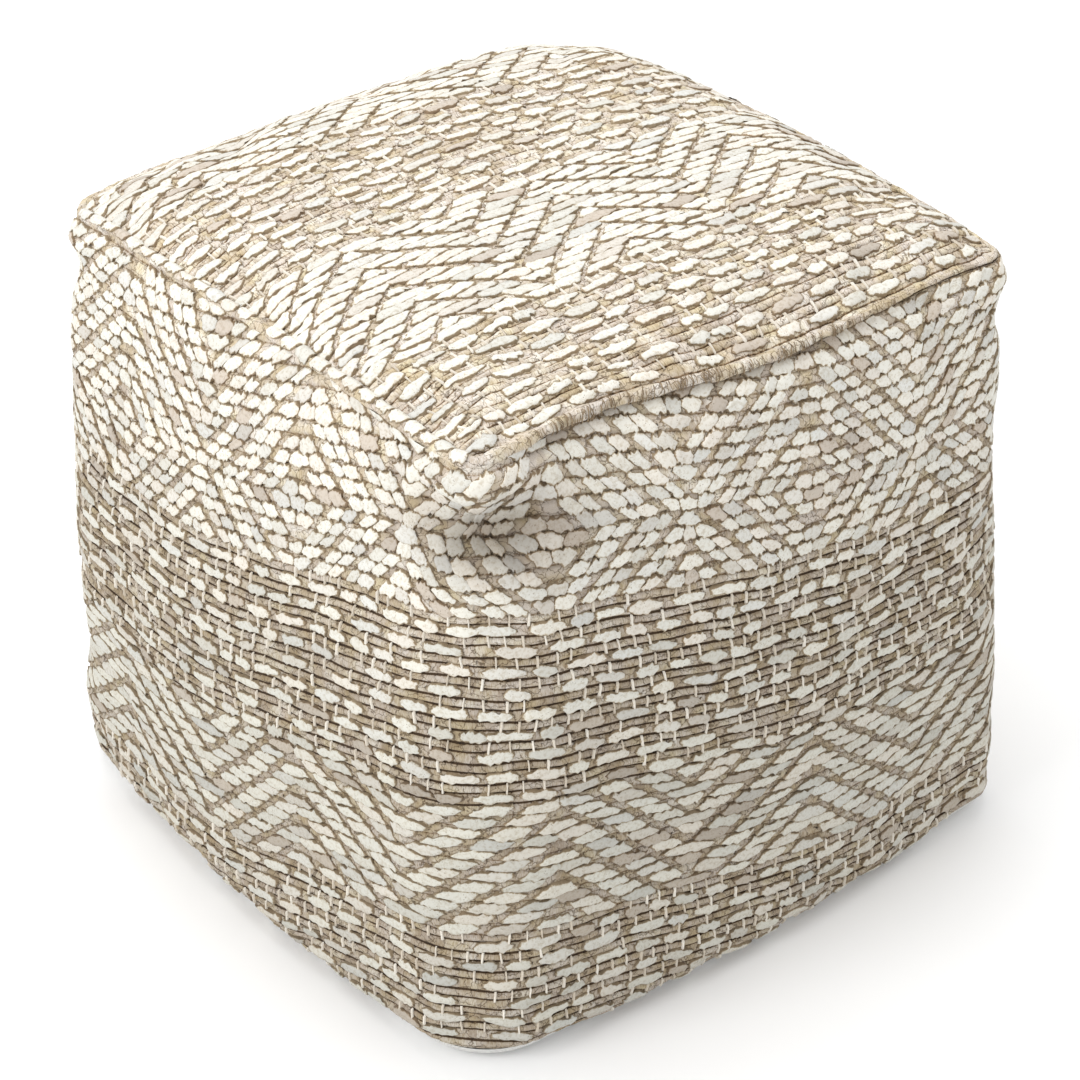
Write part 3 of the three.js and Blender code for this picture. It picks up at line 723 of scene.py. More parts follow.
def split_long(floats, longest, rng):
    """Cuts a float longer than a strip reaches into shorter ones, end to end."""
    cut = []
    for low, high, lean_low, lean_high in floats:
        parts = max(1, round((high - low) / longest))
        marks = np.linspace(low, high, parts + 1)
        marks[1:-1] += rng.uniform(-2, 2, max(0, parts - 1))
        leans = np.linspace(lean_low, lean_high, parts + 1)
        cut += list(zip(marks[:-1], marks[1:], leans[:-1], leans[1:]))
    return cut


def dashed_floats(row, start, end, rng):
    """Floats of a dashed row, end to end with small gaps, and every other row stepped by half."""
    pitch = DASH_L + DASH_GAP
    s = start - pitch * (row % 2) / 2 + rng.uniform(-4, 4)
    floats = []
    while s < end:
        length = DASH_L + rng.uniform(-8, 8)
        if rng.uniform() > 0.04:
            floats.append((s, s + length, rng.uniform(-1.5, 1.5), rng.uniform(-1.5, 1.5)))
        s += length + DASH_GAP + rng.uniform(-3.5, 3.5)
    return floats


# ---- pieces of the weave ----

PAD_U = np.array([-1, -0.95, -0.82, -0.62, -0.38, -0.13, 0.13, 0.38, 0.62, 0.82, 0.95, 1])
PAD_V = np.array([-1, -0.88, -0.55, 0, 0.55, 0.88, 1])


def add_pads(patches, floats, low, high, height, rng, blunt=(1.8, 3.2), flat_top=0.35):
    """Leather floats between two heights of the cloth, each a soft flat lozenge that tucks in at its ends.

    Low numbers in `blunt` make pointed floats, and high ones make square ends.
    """
    middle = (low + high) / 2
    floats = [f for f in floats if patches.panel.shows((f[0] + f[1]) / 2, middle) == 0]
    if not floats:
        return
    count = len(floats)
    start, end, lean_start, lean_end = (np.array(column)[:, None, None] for column in zip(*floats))
    u, v = np.meshgrid(PAD_U, PAD_V)
    u, v = u[None], v[None]
    shape = (count, len(PAD_V), len(PAD_U))
    half_t = (high - low) / 2 * rng.uniform(0.86, 1.08, (count, 1, 1))
    middle_t = middle + rng.uniform(-0.4, 0.4, (count, 1, 1))
    power = rng.uniform(*blunt, (count, 1, 1))
    ends = np.maximum(1 - np.abs(u) ** power, 0) ** 0.5
    width = np.where(v > 0, mix(ends, 1, flat_top * (1 - u**2)), ends)
    rim = np.abs(v) > 0.8
    ragged = rng.normal(0, 0.65, shape) * rim
    uneven = rng.normal(0, 0.6, (count, 1, len(PAD_U))) * np.sign(v) * rim
    slant = mix(lean_start, lean_end, (u + 1) / 2)
    s = (start + end) / 2 + (end - start) / 2 * u - slant * v / 2 + rng.normal(0, 0.35, shape)
    t = middle_t + half_t * v * width + ragged + uneven + rng.uniform(-0.8, 0.8, (count, 1, 1)) * u
    dome = np.sqrt(np.maximum(1 - u**8, 0)) * np.sqrt(np.maximum(1 - v**6, 0))
    sag = 1 - 0.15 * bump_at(u, rng.uniform(-0.6, 0.6, (count, 1, 1)), 0.3)
    lift = height * rng.uniform(0.75, 1.2, (count, 1, 1)) * dome * sag + rng.normal(0, 0.1, shape)
    border = (np.abs(u) == 1) | (np.abs(v) == 1)
    light, hue = rng.uniform(0, 1, (count, 1, 1)), rng.uniform(0, 1, (count, 1, 1))
    edge = np.where(border, 1, 0.88 * np.maximum(np.abs(u) ** 4, np.abs(v) ** 2.5))
    patches.add(s, t, np.where(border, PAD_EDGE, lift), cell_values(shape, light, hue, edge))


SHEET_LINES = np.array([0.0, 0.1, 0.24, 0.5, 0.78, 0.93])
SHEET_PROFILE = np.array([0.0, 0.15, 0.8, 1.0, 0.85, 0.3])
SHEET_STEP = 2.3


def ground_sheet(name, panel, rows, start, end, look, rng, groove_shade_depth):
    """The hemp ground under the floats: every row is a run of soft bricks between the warp threads.

    The last argument is how deep and dark the painted shade in the gaps between its rows is, up to 1, outside
    the figured zones.
    """
    s = np.linspace(start, end, round((end - start) / SHEET_STEP) + 1)
    t_lines, lifts, cells = [], [], []
    for kind, low, high, _ in reversed(rows):
        phase = rng.uniform(0, WARP_PITCH)
        wander = 1.2 * np.sin(s / 37 + phase) + 0.8 * np.sin(s / 11 + 2 * phase)
        place = (s + wander + phase) / WARP_PITCH
        brick = np.floor(place).astype(int)
        lump = np.abs(np.sin(np.pi * (place - brick))) ** 0.4
        shade = np.random.default_rng(abs(int(low * 13)) + SEED).uniform(0, 1, brick.max() - brick.min() + 2)
        tone = shade[brick - brick.min()]
        groove_shade_share = groove_shade_depth if kind in ("ground", "strip") else FIGURED_GROOVE_SHADE
        for line, profile in zip(SHEET_LINES, SHEET_PROFILE):
            ragged = rng.normal(0, 0.12, s.shape)
            t_lines.append(np.full_like(s, mix(low, high, line)) + ragged * (0 < profile < 1))
            depth = GROUND_TALL[kind] * profile * mix(0.55, 1, lump) * mix(0.8, 1.1, tone) - 0.9
            lifts.append(depth + ragged)
            # The third value is painted shade, darkest where the row's profile dips into the groove between
            # rows
            cells.append(cell_values(s.shape, tone, 0, (1 - profile * mix(0.5, 1, lump)) * groove_shade_share))
    t, lift = np.stack(t_lines)[None], np.stack(lifts)[None]
    patches = Patches(panel)
    patches.add(np.broadcast_to(s, t.shape), t, lift, np.stack(cells)[None])
    return patches.build(name, look)


def add_ticks(patches, rows, start, end, rng):
    """Pale warp threads that cross the hemp rows."""
    spots = []
    for kind, low, high, _ in rows:
        if kind != "ground":
            continue
        s = start + rng.uniform(0, WARP_PITCH)
        while s < end:
            shown = rng.uniform() < WARP_SHOWN
            if shown and not patches.panel.shows(s, np.array([low - 2, high + 3])).any():
                spots.append((s, low - 1.3, high + 1.3))
            s += WARP_PITCH * rng.uniform(0.8, 1.2)
    middle, low, high = np.array(spots).T[:, :, None, None]
    u, v = np.meshgrid([-1, -0.6, 0.6, 1], [0, 0.12, 0.35, 0.65, 0.88, 1])
    u, v = u[None], v[None]
    lean = rng.uniform(-0.8, 0.8, middle.shape)
    width = WARP_W / 2 * rng.uniform(0.6, 1.25, middle.shape)
    s = middle + u * width + lean * (v - 0.5)
    t = mix(low, high, v)
    lift = np.where(np.abs(u) == 1, 0.2, 1.75) * np.where((v == 0) | (v == 1), 0.2, 1)
    patches.add(s, t, lift, cell_values(s.shape, rng.uniform(0, 1, middle.shape), 0, 0.1))


def weave(name, panel, rows, start, end, figures, seed):
    """One wall's or the seat's weave: ground sheet, leather floats and warp threads.

    `figures` are the place of a chevron's point, the width of one figure, and the length of its floats.
    """
    apex, motif, chevron_l = figures
    rng = np.random.default_rng(seed)
    # Painted shade in the grooves between rows: full on the walls, lighter on the seat
    groove_shade_depth = 1.0 if panel.foot else SEAT_GROOVE_SHADE
    sheet = ground_sheet(f"{name}_ground", panel, rows, start, end, looks["ground"], rng, groove_shade_depth)
    pads, ticks = Patches(panel), Patches(panel)
    for kind, low, high, number in rows:
        if kind == "strip":
            floats = dashed_floats(number // 2, start, end, rng)
            add_pads(pads, inside(floats, start, end), low + 1.0, high + 0.8, 2.0, rng, (1.5, 2.8), 0.45)
        elif kind == "chevron":
            floats = split_long(figured_floats(number, STEP, apex, motif, chevron_l, start, end), 26, rng)
            floats = inside(widened(floats, 1.5), start, end)
            add_pads(pads, floats, low - 0.5, high + 0.6, 1.9, rng, (2.4, 4.5))
        elif kind == "diamond":
            fold = number - DIAMOND_MIDDLE
            step = STEP if fold < 0 else -STEP
            floats = split_long(figured_floats(fold, step, apex, motif, DIAMOND_L, start, end), 15, rng)
            floats = inside(widened(floats, 0.6), start, end)
            add_pads(pads, floats, low - 0.7, high + 0.7, 2.3, rng, (1.9, 3.0), 0.2)
    add_ticks(ticks, rows, start, end, rng)
    strips = pads.build(f"{name}_leather", looks["leather"])
    warps = ticks.build(f"{name}_warp", looks["warp"])
    return sheet, strips, warps


def inside(floats, start, end):
    return [f for f in floats if start <= (f[0] + f[1]) / 2 < end]


def widened(floats, by):
    return [(low - by, high + by, lean_low, lean_high) for low, high, lean_low, lean_high in floats]


# ---- materials ----


# Painted shade: how much darker the colour is painted from the pouf's foot up to its seam
LEATHER_PAINTED_SHADE = [(0.0, (0.72, 0.72, 0.70)), (0.45, (0.76, 0.76, 0.74)), (0.88, (1, 1, 1))]
GROUND_PAINTED_SHADE = [(0.0, (0.62, 0.60, 0.57)), (0.6, (0.64, 0.62, 0.59)), (0.95, (1, 1, 1))]
# Colour of the painted shade in the hollow under the front corner and the crease under the front seam
HOLLOW_PAINTED_SHADE = (0.42, 0.38, 0.34)


class Look:
    """Builds a material's node tree, one node at a time."""

    def __init__(self, name):
        self.material = bpy.data.materials.new(name)
        self.material.use_nodes = True
        self.tree = self.material.node_tree
        self.shader = self.tree.nodes["Principled BSDF"]

    def feed(self, socket, value):
        """Sets a socket to a number, a vector or a colour, or links it to another node's output."""
        if isinstance(value, bpy.types.NodeSocket):
            self.tree.links.new(value, socket)
        else:
            socket.default_value = (*value, 1) if socket.type == "RGBA" else value

    def node(self, kind, **settings):
        made = self.tree.nodes.new(kind)
        for key, value in settings.items():
            if key in made.inputs:
                self.feed(made.inputs[key], value)
            else:
                setattr(made, key, value)
        return made

    def filled(self, kind, inputs, **settings):
        """A node whose inputs are fed by their places, for a node that has several of one name."""
        made = self.node(kind, **settings)
        for place, value in inputs.items():
            self.feed(made.inputs[place], value)
        return made.outputs

    def spot(self):
        return self.node("ShaderNodeTexCoord").outputs["Object"]

    def attribute(self, name):
        """The three channels of a mesh's attribute."""
        found = self.node("ShaderNodeAttribute", attribute_name=name)
        return self.node("ShaderNodeSeparateColor", Color=found.outputs["Color"]).outputs[:3]

    def noise(self, scale, detail=3.0, rough=0.55, spot=None):
        vector = self.spot() if spot is None else spot
        found = self.node("ShaderNodeTexNoise", Vector=vector, Scale=scale, Detail=detail, Roughness=rough)
        return found.outputs["Fac"]

    def cloth(self, along_s, along_t):
        """Position on the cloth, in metres of s and t times the two numbers."""
        found = self.node("ShaderNodeAttribute", attribute_name="cloth")
        return self.vectors("MULTIPLY", {0: found.outputs["Vector"], 1: (along_s, along_t, 1)})

    def cracks(self, per_metre_s, per_metre_t):
        """Distance to the nearest edge of irregular cells on the cloth, so many to a metre each way."""
        bend = self.node("ShaderNodeTexNoise", Vector=self.spot(), Scale=240, Detail=2.0)
        shift = self.vectors("SCALE", {0: bend.outputs["Color"], "Scale": 0.9})
        place = self.vectors("ADD", {0: self.cloth(per_metre_s, per_metre_t), 1: shift})
        return self.pits(1.0, place, "DISTANCE_TO_EDGE")

    def pits(self, scale, spot=None, feature="F1"):
        """Distance from the middle, or from the edge, of the nearest of many irregular cells."""
        vector = self.spot() if spot is None else spot
        found = self.node("ShaderNodeTexVoronoi", feature=feature, Vector=vector, Scale=scale)
        return found.outputs["Distance"]

    def with_painted_shade(self, color, shade_stops):
        """The colour with painted shade: darker towards the foot, and in the hollow and crease that the cloth
        attribute's third value marks.
        """
        shaded_to_foot = self.times(color, self.ramp(self.height(), shade_stops))
        soil_and_painted_shade = self.attribute("cloth")[2]
        return self.mixed(soil_and_painted_shade, shaded_to_foot, self.times(shaded_to_foot, HOLLOW_PAINTED_SHADE))

    def height(self):
        """Height on the pouf, from 0 at the floor to 1 at the seam."""
        split = self.node("ShaderNodeSeparateXYZ", Vector=self.spot())
        return self.math("DIVIDE", split.outputs["Z"], SEAM_Z * MM)

    def ramp(self, value, stops):
        made = self.node("ShaderNodeValToRGB", Fac=value)
        ramp = made.color_ramp
        while len(ramp.elements) < len(stops):
            ramp.elements.new(0.5)
        for element, (place, color) in zip(ramp.elements, stops):
            element.position = place
            element.color = (*color, 1)
        return made.outputs["Color"]

    def vectors(self, operation, inputs):
        return self.filled("ShaderNodeVectorMath", inputs, operation=operation)["Vector"]

    def math(self, operation, *values):
        return self.filled("ShaderNodeMath", dict(enumerate(values)), operation=operation)["Value"]

    def mixed(self, factor, a, b, blend="MIX"):
        return self.filled("ShaderNodeMix", {0: factor, 6: a, 7: b}, data_type="RGBA", blend_type=blend)[2]

    def times(self, color, other, factor=1.0):
        return self.mixed(factor, color, other, "MULTIPLY")

    def finish(self, color, roughness, height, distance=0.0004, strength=0.6):
        bump = self.node("ShaderNodeBump", Strength=strength, Distance=distance, Height=height)
        self.feed(self.shader.inputs["Normal"], bump.outputs["Normal"])
        self.feed(self.shader.inputs["Base Color"], color)
        self.feed(self.shader.inputs["Roughness"], roughness)
        return self.material


WHITE = (1, 1, 1)


def leather_look():
    """Undyed hide strips: cream, each a little warmer, pinker or greyer, with stained edges and pores."""
    look = Look("leather_strips")
    light, hue, edge = look.attribute("cell")
    hides = [(0.0, (0.77, 0.76, 0.70)), (0.45, (0.82, 0.80, 0.72)), (0.72, (0.80, 0.75, 0.67))]
    hides += [(0.93, (0.74, 0.74, 0.70)), (0.95, (0.58, 0.51, 0.43))]
    value = look.ramp(light, [(0.0, (0.78, 0.78, 0.78)), (0.4, (0.95, 0.95, 0.95)), (1.0, WHITE)])
    # Painted shade, darker towards the foot and in the hollow under the front corner
    color = look.with_painted_shade(look.times(look.ramp(hue, hides), value), LEATHER_PAINTED_SHADE)
    grain = look.noise(420, 4.0, 0.65)
    color = look.times(color, look.ramp(grain, [(0.32, (0.78, 0.73, 0.66)), (0.52, WHITE)]))
    pores = look.ramp(look.pits(520), [(0.10, (0.42, 0.36, 0.30)), (0.24, WHITE)])
    thin = look.ramp(look.noise(160), [(0.45, (0, 0, 0)), (0.6, WHITE)])
    color = look.mixed(thin, color, look.times(color, pores))
    ragged = look.math("ADD", edge, look.math("MULTIPLY", look.noise(480, 4.0, 0.7), 0.75))
    stain = look.ramp(ragged, [(0.84, WHITE), (0.93, (0.74, 0.65, 0.52)), (1.0, (0.40, 0.31, 0.21))])
    look.shader.inputs["Sheen Weight"].default_value = 0.1
    height = look.math("ADD", grain, look.math("MULTIPLY", look.pits(520), 0.6))
    return look.finish(look.times(color, stain), 0.72, height, 0.0005, 0.5)


def ground_look():
    """Hemp weft: uneven taupe bricks with frayed fibres, cracks between them and dark lines of painted shade
    between rows.
    """
    look = Look("hemp_ground")
    tone, _, groove_shade = look.attribute("cell")
    hemps = [(0.0, (0.56, 0.49, 0.42)), (0.25, (0.74, 0.67, 0.59)), (0.6, (0.72, 0.665, 0.61))]
    hemps += [(0.85, (0.83, 0.79, 0.72)), (1.0, (0.88, 0.85, 0.80))]
    # Painted shade, darker towards the foot and in the hollow under the front corner
    color = look.with_painted_shade(look.ramp(tone, hemps), GROUND_PAINTED_SHADE)
    fibre = look.noise(1100, 3.0, 0.7, look.cloth(1.0, 0.22))
    color = look.times(color, look.ramp(fibre, [(0.34, (0.62, 0.54, 0.44)), (0.56, WHITE)]))
    cracks = look.ramp(look.cracks(118, 165), [(0.012, (0.16, 0.11, 0.06)), (0.05, WHITE)])
    color = look.times(color, cracks, 0.75)
    color = look.times(color, look.ramp(look.noise(60), [(0.35, (0.84, 0.78, 0.60)), (0.6, WHITE)]))
    ragged = look.math("ADD", groove_shade, look.math("MULTIPLY", look.noise(500, 3.0), 0.4))
    # Painted shade in the grooves between rows
    dark = look.ramp(ragged, [(0.80, WHITE), (0.93, (0.46, 0.35, 0.24)), (1.0, (0.12, 0.08, 0.045))])
    return look.finish(look.times(color, dark), 0.92, fibre, 0.0004, 0.6)


def warp_look():
    """Pale twisted threads, each a little lighter or darker."""
    look = Look("warp_thread")
    color = look.ramp(look.attribute("cell")[0], [(0.0, (0.62, 0.55, 0.45)), (1.0, (0.86, 0.82, 0.74))])
    fibre = look.noise(1400, 2.0)
    shade = look.ramp(fibre, [(0.3, (0.5, 0.45, 0.38)), (0.7, WHITE)])
    return look.finish(look.times(color, shade, 0.35), 0.9, fibre, 0.0003)


def fray_look():
    """Dark hemp fibre ends."""
    look = Look("frayed_fibre")
    shade = look.noise(300, 2.0)
    return look.finish(look.ramp(shade, [(0.3, (0.13, 0.085, 0.045)), (0.7, (0.36, 0.27, 0.17))]), 0.9, shade)


def darker(color, share):
    return tuple(channel * share for channel in color)


def cloth_look(name, color, pitch):
    """A plain weave of two thread directions, `pitch` metres from thread to thread."""
    look = Look(name)
    x, y, z = look.node("ShaderNodeSeparateXYZ", Vector=look.spot()).outputs
    wave = 2 * math.pi / pitch
    across = look.math("SINE", look.math("MULTIPLY", look.math("ADD", x, y), wave))
    upright = look.math("SINE", look.math("MULTIPLY", z, wave))
    threads = look.math("MULTIPLY", across, upright)
    height = look.math("ADD", look.math("MULTIPLY", threads, 0.35), look.noise(350, 4.0))
    # Painted shade: darker where the threads dip, in the hollows of the weave
    shade = look.ramp(height, [(0.15, darker(color, 0.74)), (0.7, color)])
    soil_and_painted_shade = look.ramp(look.noise(14), [(0.35, (0.93, 0.92, 0.90)), (0.6, WHITE)])
    look.shader.inputs["Sheen Weight"].default_value = 0.15
    return look.finish(look.times(shade, soil_and_painted_shade), 0.93, height, pitch * 0.3, 0.5)


def thread_look(name, color):
    """Twisted sewing thread."""
    look = Look(name)
    wave = look.node(
        "ShaderNodeTexWave", Vector=look.spot(), Scale=420, Distortion=1.5, bands_direction="DIAGONAL"
    ).outputs["Fac"]
    look.shader.inputs["Sheen Weight"].default_value = 0.2
    # Painted shade: darker in the grooves of the twist
    shade = look.ramp(wave, [(0.2, darker(color, 0.6)), (0.7, color)])
    return look.finish(shade, 0.85, wave, 0.0003, 0.5)


def brass_look():
    """Plated brass with fine brush lines, and a darker bloom in patches."""
    look = Look("aged_brass")
    bloom = look.noise(180, 4.0)
    color = look.ramp(bloom, [(0.35, (0.36, 0.27, 0.15)), (0.65, (0.62, 0.50, 0.31))])
    brushed = look.noise(2600, 2.0)
    rough = look.math("ADD", look.math("MULTIPLY", bloom, 0.2), 0.22)
    look.shader.inputs["Metallic"].default_value = 1.0
    return look.finish(color, rough, brushed, 0.00005, 0.3)


def nylon_look():
    """Moulded nylon, faintly cloudy."""
    look = Look("zip_nylon")
    cloud = look.noise(260, 3.0)
    color = look.ramp(cloud, [(0.3, (0.50, 0.43, 0.33)), (0.7, (0.62, 0.55, 0.44))])
    look.shader.inputs["Coat Weight"].default_value = 0.1
    return look.finish(color, look.math("ADD", look.math("MULTIPLY", cloud, 0.15), 0.38), cloud, 0.0001, 0.3)


def bead_look():
    """Loose expanded beads, packed close, with painted shade darkening each towards where it meets the next.
    """
    look = Look("packed_beads")
    ball = look.pits(190)
    # Painted shade: light at each bead's middle, darker towards the crevices between beads
    color = look.ramp(ball, [(0.25, (0.94, 0.94, 0.93)), (0.75, (0.52, 0.52, 0.51))])
    round_top = look.math("SUBTRACT", 1.0, ball)
    return look.finish(color, 0.6, round_top, 0.002, 0.9)


def floor_look():
    """A pale, matt studio floor."""
    look = Look("pale_floor")
    grain = look.noise(3, 3.0)
    color = look.ramp(grain, [(0.35, (0.94, 0.94, 0.94)), (0.65, (0.96, 0.96, 0.96))])
    return look.finish(color, 0.9, grain, 0.0001, 0.2)


# ---- the woven cover ----

SEAT_W = 2 * SEAM_HALF
BAND_FIGURES = (APEX_S, MOTIF, CHEVRON_L)
SEAT_FIGURES = (TOP_APEX_S, TOP_MOTIF, TOP_CHEVRON_L)
BAND_ZONES = [
    ("diamond", DIAMOND_ROWS, (DIAMOND_PITCH,)),
    ("dash", 2 * UPPER_DASHES, (GROUND_H, STRIP_H)),
    ("chevron", CHEVRON_ROWS, (CHEVRON_PITCH,)),
    ("dash", 14, (GROUND_H, STRIP_H)),
]
SEAT_ZONES = [
    ("chevron", 10, (CHEVRON_PITCH,)),
    ("dash", 17, (GROUND_H, STRIP_H)),
    ("chevron", 15, (CHEVRON_PITCH,)),
    ("dash", 18, (GROUND_H, STRIP_H)),
]

looks = {"leather": leather_look(), "ground": ground_look(), "warp": warp_look()}
band = panel_from(settled_band(), 4 * WALL_W, BAND_H, True, band_bow, band_foot, band_painted_shade)
cushion = shaped_seat(top_points())
seat = panel_from(cushion + settled(cushion, False), SEAT_W, SEAT_W, False)
ridge_grid = ridge_points()
ridge_t = RIDGE_R * math.radians(RIDGE_ARC[1] - RIDGE_ARC[0])
ridge = Panel(ridge_grid, 4 * WALL_W / ridge_grid.shape[1], ridge_t / (len(ridge_grid) - 1), True)

band_rows = rows_of(BAND_ZONES, BAND_H + DRAFT_ABOVE)
walls = []
for number, wall in enumerate(("back", "left", "front", "right")):
    start = number * WALL_W
    walls.append(weave(f"{wall}_wall", band, band_rows, start, start + WALL_W, BAND_FIGURES, SEED + number))
seat_weave = weave("seat", seat, rows_of(SEAT_ZONES, SEAT_W), 0, SEAT_W, SEAT_FIGURES, SEED + 9)


def seam_ridge():
    """The rolled seam: hemp all round, and leather floats along the left wall."""
    rng = np.random.default_rng(SEED + 30)
    rows = rows_of([("ridge", 1, (ridge_t,))], ridge_t)
    sheet = ground_sheet("seam_ridge", ridge, rows, 0, 4 * WALL_W, looks["ground"], rng, 1.0)
    length, pitch = RIDGE_FLOAT
    places = np.arange(WALL_W + 12, 2 * WALL_W - 12, pitch)
    floats = [(s, s + length, 0, 0) for s in places if not RIDGE_BARE[0] < s < RIDGE_BARE[1]]
    pads = Patches(ridge)
    add_pads(pads, floats, ridge_t * 0.28, ridge_t * 0.80, 1.6, rng, (2.5, 4.0))
    return sheet, pads.build("seam_ridge_leather", looks["leather"])


def seam_frays():
    """Dark fibre ends across the front of the rolled seam, most of them near the front corner."""
    rng = np.random.default_rng(SEED + 40)
    share = np.linspace(0, 1, 6)
    place = 2 * WALL_W + 40 + np.sort(rng.beta(1.2, 2.0, FRAY_COUNT)) * (WALL_W - 60)
    low = rng.uniform(0.05, 0.25, (FRAY_COUNT, 1))
    t = ridge_t * (low + rng.uniform(0.25, 0.5, (FRAY_COUNT, 1)) * share)
    s = place[:, None] + rng.normal(0, 1.2, (FRAY_COUNT, len(share))).cumsum(1) * 0.5
    return rods_object("seam_frays", ridge.at(s, t, 0.5), FRAY_R, fray_look())


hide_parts("side_band")
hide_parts("top_panel")
for piece in [*sum(walls, ()), *seam_ridge(), seam_frays(), *seat_weave]:
    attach(piece, "pouf")


def stands_for(piece, slot, *nodes):
    """Puts a piece on the pouf in place of the CAD nodes."""
    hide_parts(*nodes)
    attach(piece, "pouf")
    return piece


# ---- base, liner and filling ----

canvas = cloth_look("base_canvas", (0.72, 0.72, 0.70), 0.0011)
cotton = cloth_look("liner_cotton", (0.88, 0.86, 0.82), 0.0007)
for name, rings, look, lid, slot, node in (
    ("canvas_base", base_rings(), canvas, False, "base_canvas", "base_panel"),
    ("liner_bag", body_rings(LINER_INSET, 36), cotton, True, "liner_cotton", "inner_liner"),
    ("bead_filling", body_rings(FILL_INSET, 36), bead_look(), True, "beads", "bead_fill"),
):
    stands_for(ring_object(name, rings, look, lid), slot, node)

# ---- the zip ----

thread = thread_look("sewing_thread", (0.70, 0.64, 0.54))
tape_cloth = cloth_look("zip_tape_twill", (0.50, 0.44, 0.35), 0.0006)
nylon = nylon_look()
brass = brass_look()


def cloth_strip(name, x, y, z, thickness, look):
    """A strip of cloth facing +Y, from a grid of points."""
    faces = grid_faces(*x.shape)[:, ::-1]
    piece = mesh_object(name, np.stack([x, y, z], -1).reshape(-1, 3), faces, look)
    assign(piece.modifiers.new("thickness", "SOLIDIFY"), thickness=thickness * MM)
    return piece


def zip_tape(name, low, high):
    """A flat tape, with its faces a little uneven and its edges soft."""
    reach = TAPE_REACH + TAPE_TUCK
    x, z = np.meshgrid(np.linspace(-reach, reach, 121), np.linspace(low, high, 7))
    wave = 0.12 * np.sin(x / 6.1 + z) + 0.08 * np.sin(x / 2.3 - z)
    piece = cloth_strip(name, x, TAPE_Y + wave, z, TAPE_T, tape_cloth)
    edge = piece.modifiers.new("soft_edge", "BEVEL")
    assign(edge, width=TAPE_T * MM * 0.3, segments=2, limit_method="ANGLE")
    return piece


def zip_coil(side):
    """Nylon teeth, each a small loop that leans along the coil."""
    places = np.arange(-COIL_REACH + TOOTH_PITCH, COIL_REACH, TOOTH_PITCH)
    angle = np.linspace(0, 2 * math.pi, 11)
    x = places[:, None] + 0.4 * np.sin(angle)
    y = np.broadcast_to(COIL_Y + 0.75 * np.cos(angle), x.shape)
    z = np.broadcast_to(ZIP_Z + side * (COIL_MIDDLE + 0.8 * np.sin(angle)), x.shape)
    return np.stack([x, y, z], -1)


def stitch_line(side):
    """Stitches along X above or below the zip, each dipping into the cloth at its ends."""
    starts = np.arange(-TAPE_REACH, TAPE_REACH - STITCH_L, STITCH_L + STITCH_GAP)
    share = np.linspace(0, 1, 7)
    x = starts[:, None] + STITCH_L * share
    y = BASE_HALF + STITCH_OUT[side] - 0.9 * (2 * share - 1) ** 4
    return np.stack(np.broadcast_arrays(x, y, ZIP_Z + side * STITCH_UP), -1)


def fold_route(side):
    """The middle of the cloth's rolled edge above or below the zip."""
    x = np.linspace(-ZIP_HALF - 6, ZIP_HALF + 6, 90)
    y = BASE_HALF - 0.6 + 0.25 * np.sin(x / 9.0)
    return np.stack([x, y, ZIP_Z + side * (ZIP_SLOT / 2 + FOLD_R + 0.2) + 0.2 * np.sin(x / 14.0)], -1)


def tack_bars(side):
    """Five upright stitches across the tapes, near one end of the zip."""
    share = np.linspace(-1, 1, 9)
    x = side * (TAPE_REACH - TACK_IN) + np.linspace(-0.8, 0.8, 5)[:, None]
    return np.stack(np.broadcast_arrays(x, TAPE_Y + 1.6 - 0.7 * share**4, ZIP_Z + 5 * share), -1)


def care_label():
    """A blank woven label, sewn along its ends, with its middle a little free of the cloth."""
    across, up = np.meshgrid(np.linspace(-1, 1, 29), np.linspace(-1, 1, 17))
    x = LABEL_PLACE[0] + LABEL_SIZE[0] / 2 * across
    z = LABEL_PLACE[1] + LABEL_SIZE[1] / 2 * up
    lean = 0.03 * (z - LABEL_PLACE[1] + 10)
    y = BASE_HALF + LABEL_OUT + lean + 0.7 * (1 - across**2) + 0.25 * np.sin(up * 2 + across)
    return cloth_strip("blank_label", x, y, z, 0.5, cloth_look("label_cotton", (0.86, 0.84, 0.80), 0.0005))


for side, name in ((1, "upper"), (-1, "lower")):
    low, high = sorted(ZIP_Z + side * edge for edge in TAPE_SPAN)
    stands_for(zip_tape(f"tape_{name}", low, high), "zip_tape", f"zip_tape_{name}")
    teeth = rods_object(f"teeth_{name}", zip_coil(side), 0.34, nylon)
    stands_for(teeth, "zip_coil", f"zip_coil_{name}")
    stitching = rods_object(f"stitches_{name}", stitch_line(side), 0.42, thread)
    stands_for(stitching, "zip_thread", f"zip_topstitch_{name}")
    fold_cloth, fold_slot = (looks["warp"], "hemp_ground") if side == 1 else (canvas, "base_canvas")
    fold = rods_object(f"zip_fold_{name}", [fold_route(side)], FOLD_R, fold_cloth, sides=14)
    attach(fold, "pouf")
for side, name in ((1, "right"), (-1, "left")):
    tack = rods_object(f"bar_tack_{name}", tack_bars(side), 0.3, thread)
    stands_for(tack, "zip_thread", f"zip_end_tack_{name}")
stands_for(care_label(), "label", "care_label")

# ---- the seam's hidden thread, and the CAD's own pieces ----

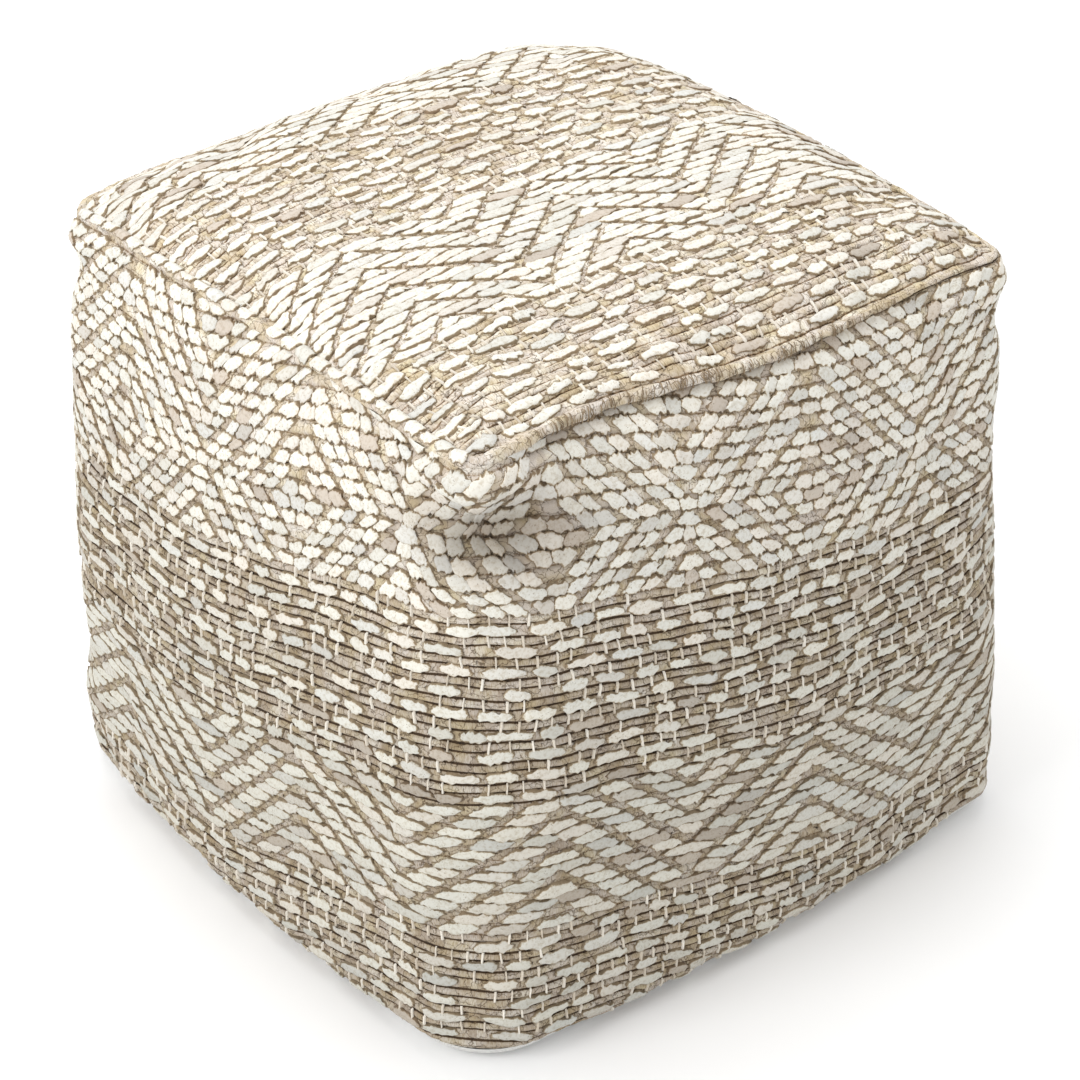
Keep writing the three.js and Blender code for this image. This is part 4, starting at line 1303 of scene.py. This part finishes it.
seam, outward = seam_loop()
seam_route = seam - 3.0 * outward - 3.0 * UP
seam_rod = rods_object("seam_thread", [np.concatenate([seam_route, seam_route[:2]])], 0.8, thread, sides=8)
stands_for(seam_rod, "zip_thread", "top_seam_thread")

METAL_NODES = ("zip_slider", "zip_pull_tab", "zip_top_stop_upper", "zip_top_stop_lower", "zip_bottom_stop")
THREAD_NODES = ("base_seam_thread", "band_closing_thread", "liner_closing_thread")
for names, look in ((METAL_NODES, brass), (THREAD_NODES, thread)):
    for node in names:
        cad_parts[node].data.materials.clear()
        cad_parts[node].data.materials.append(look)
for node in METAL_NODES:
    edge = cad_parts[node].modifiers.new("worn_edge", "BEVEL")
    assign(edge, width=WORN_EDGE * MM, segments=2, limit_method="ANGLE")

# ---- floor, light and camera ----

corners = np.array([(-1, -1, 0), (1, -1, 0), (1, 1, 0), (-1, 1, 0)])
mesh_object("floor", FLOOR_REACH * corners, np.array([[0, 1, 2, 3]]), floor_look())

world = bpy.data.worlds.new("studio")
world.use_nodes = True
world.node_tree.nodes["Background"].inputs["Color"].default_value = (1, 1, 1, 1)
world.node_tree.nodes["Background"].inputs["Strength"].default_value = SKY
bpy.context.scene.world = world


def facing(thing, place, direction):
    """Puts a lamp or camera at a place, looking along a direction."""
    thing.location = place
    thing.rotation_mode = "QUATERNION"
    thing.rotation_quaternion = direction.to_track_quat("-Z", "Y")
    return thing


for name, place, size, power in LAMPS:
    data = assign(bpy.data.lights.new(name, "AREA"), shape="DISK", size=size, energy=power)
    facing(add_to_scene(name, data), place, LAMP_TARGET - Vector(place))

azimuth, elevation = math.radians(AZIMUTH), math.radians(ELEVATION)
back = Vector((
    math.sin(azimuth) * math.cos(elevation),
    -math.cos(azimuth) * math.cos(elevation),
    math.sin(elevation),
))
lens = assign(bpy.data.cameras.new("camera"), lens=LENS, shift_x=SHIFT[0], shift_y=SHIFT[1])
bpy.context.scene.camera = facing(add_to_scene("camera", lens), TARGET + back * DISTANCE, -back)
bpy.context.scene.view_settings.view_transform = "Standard"
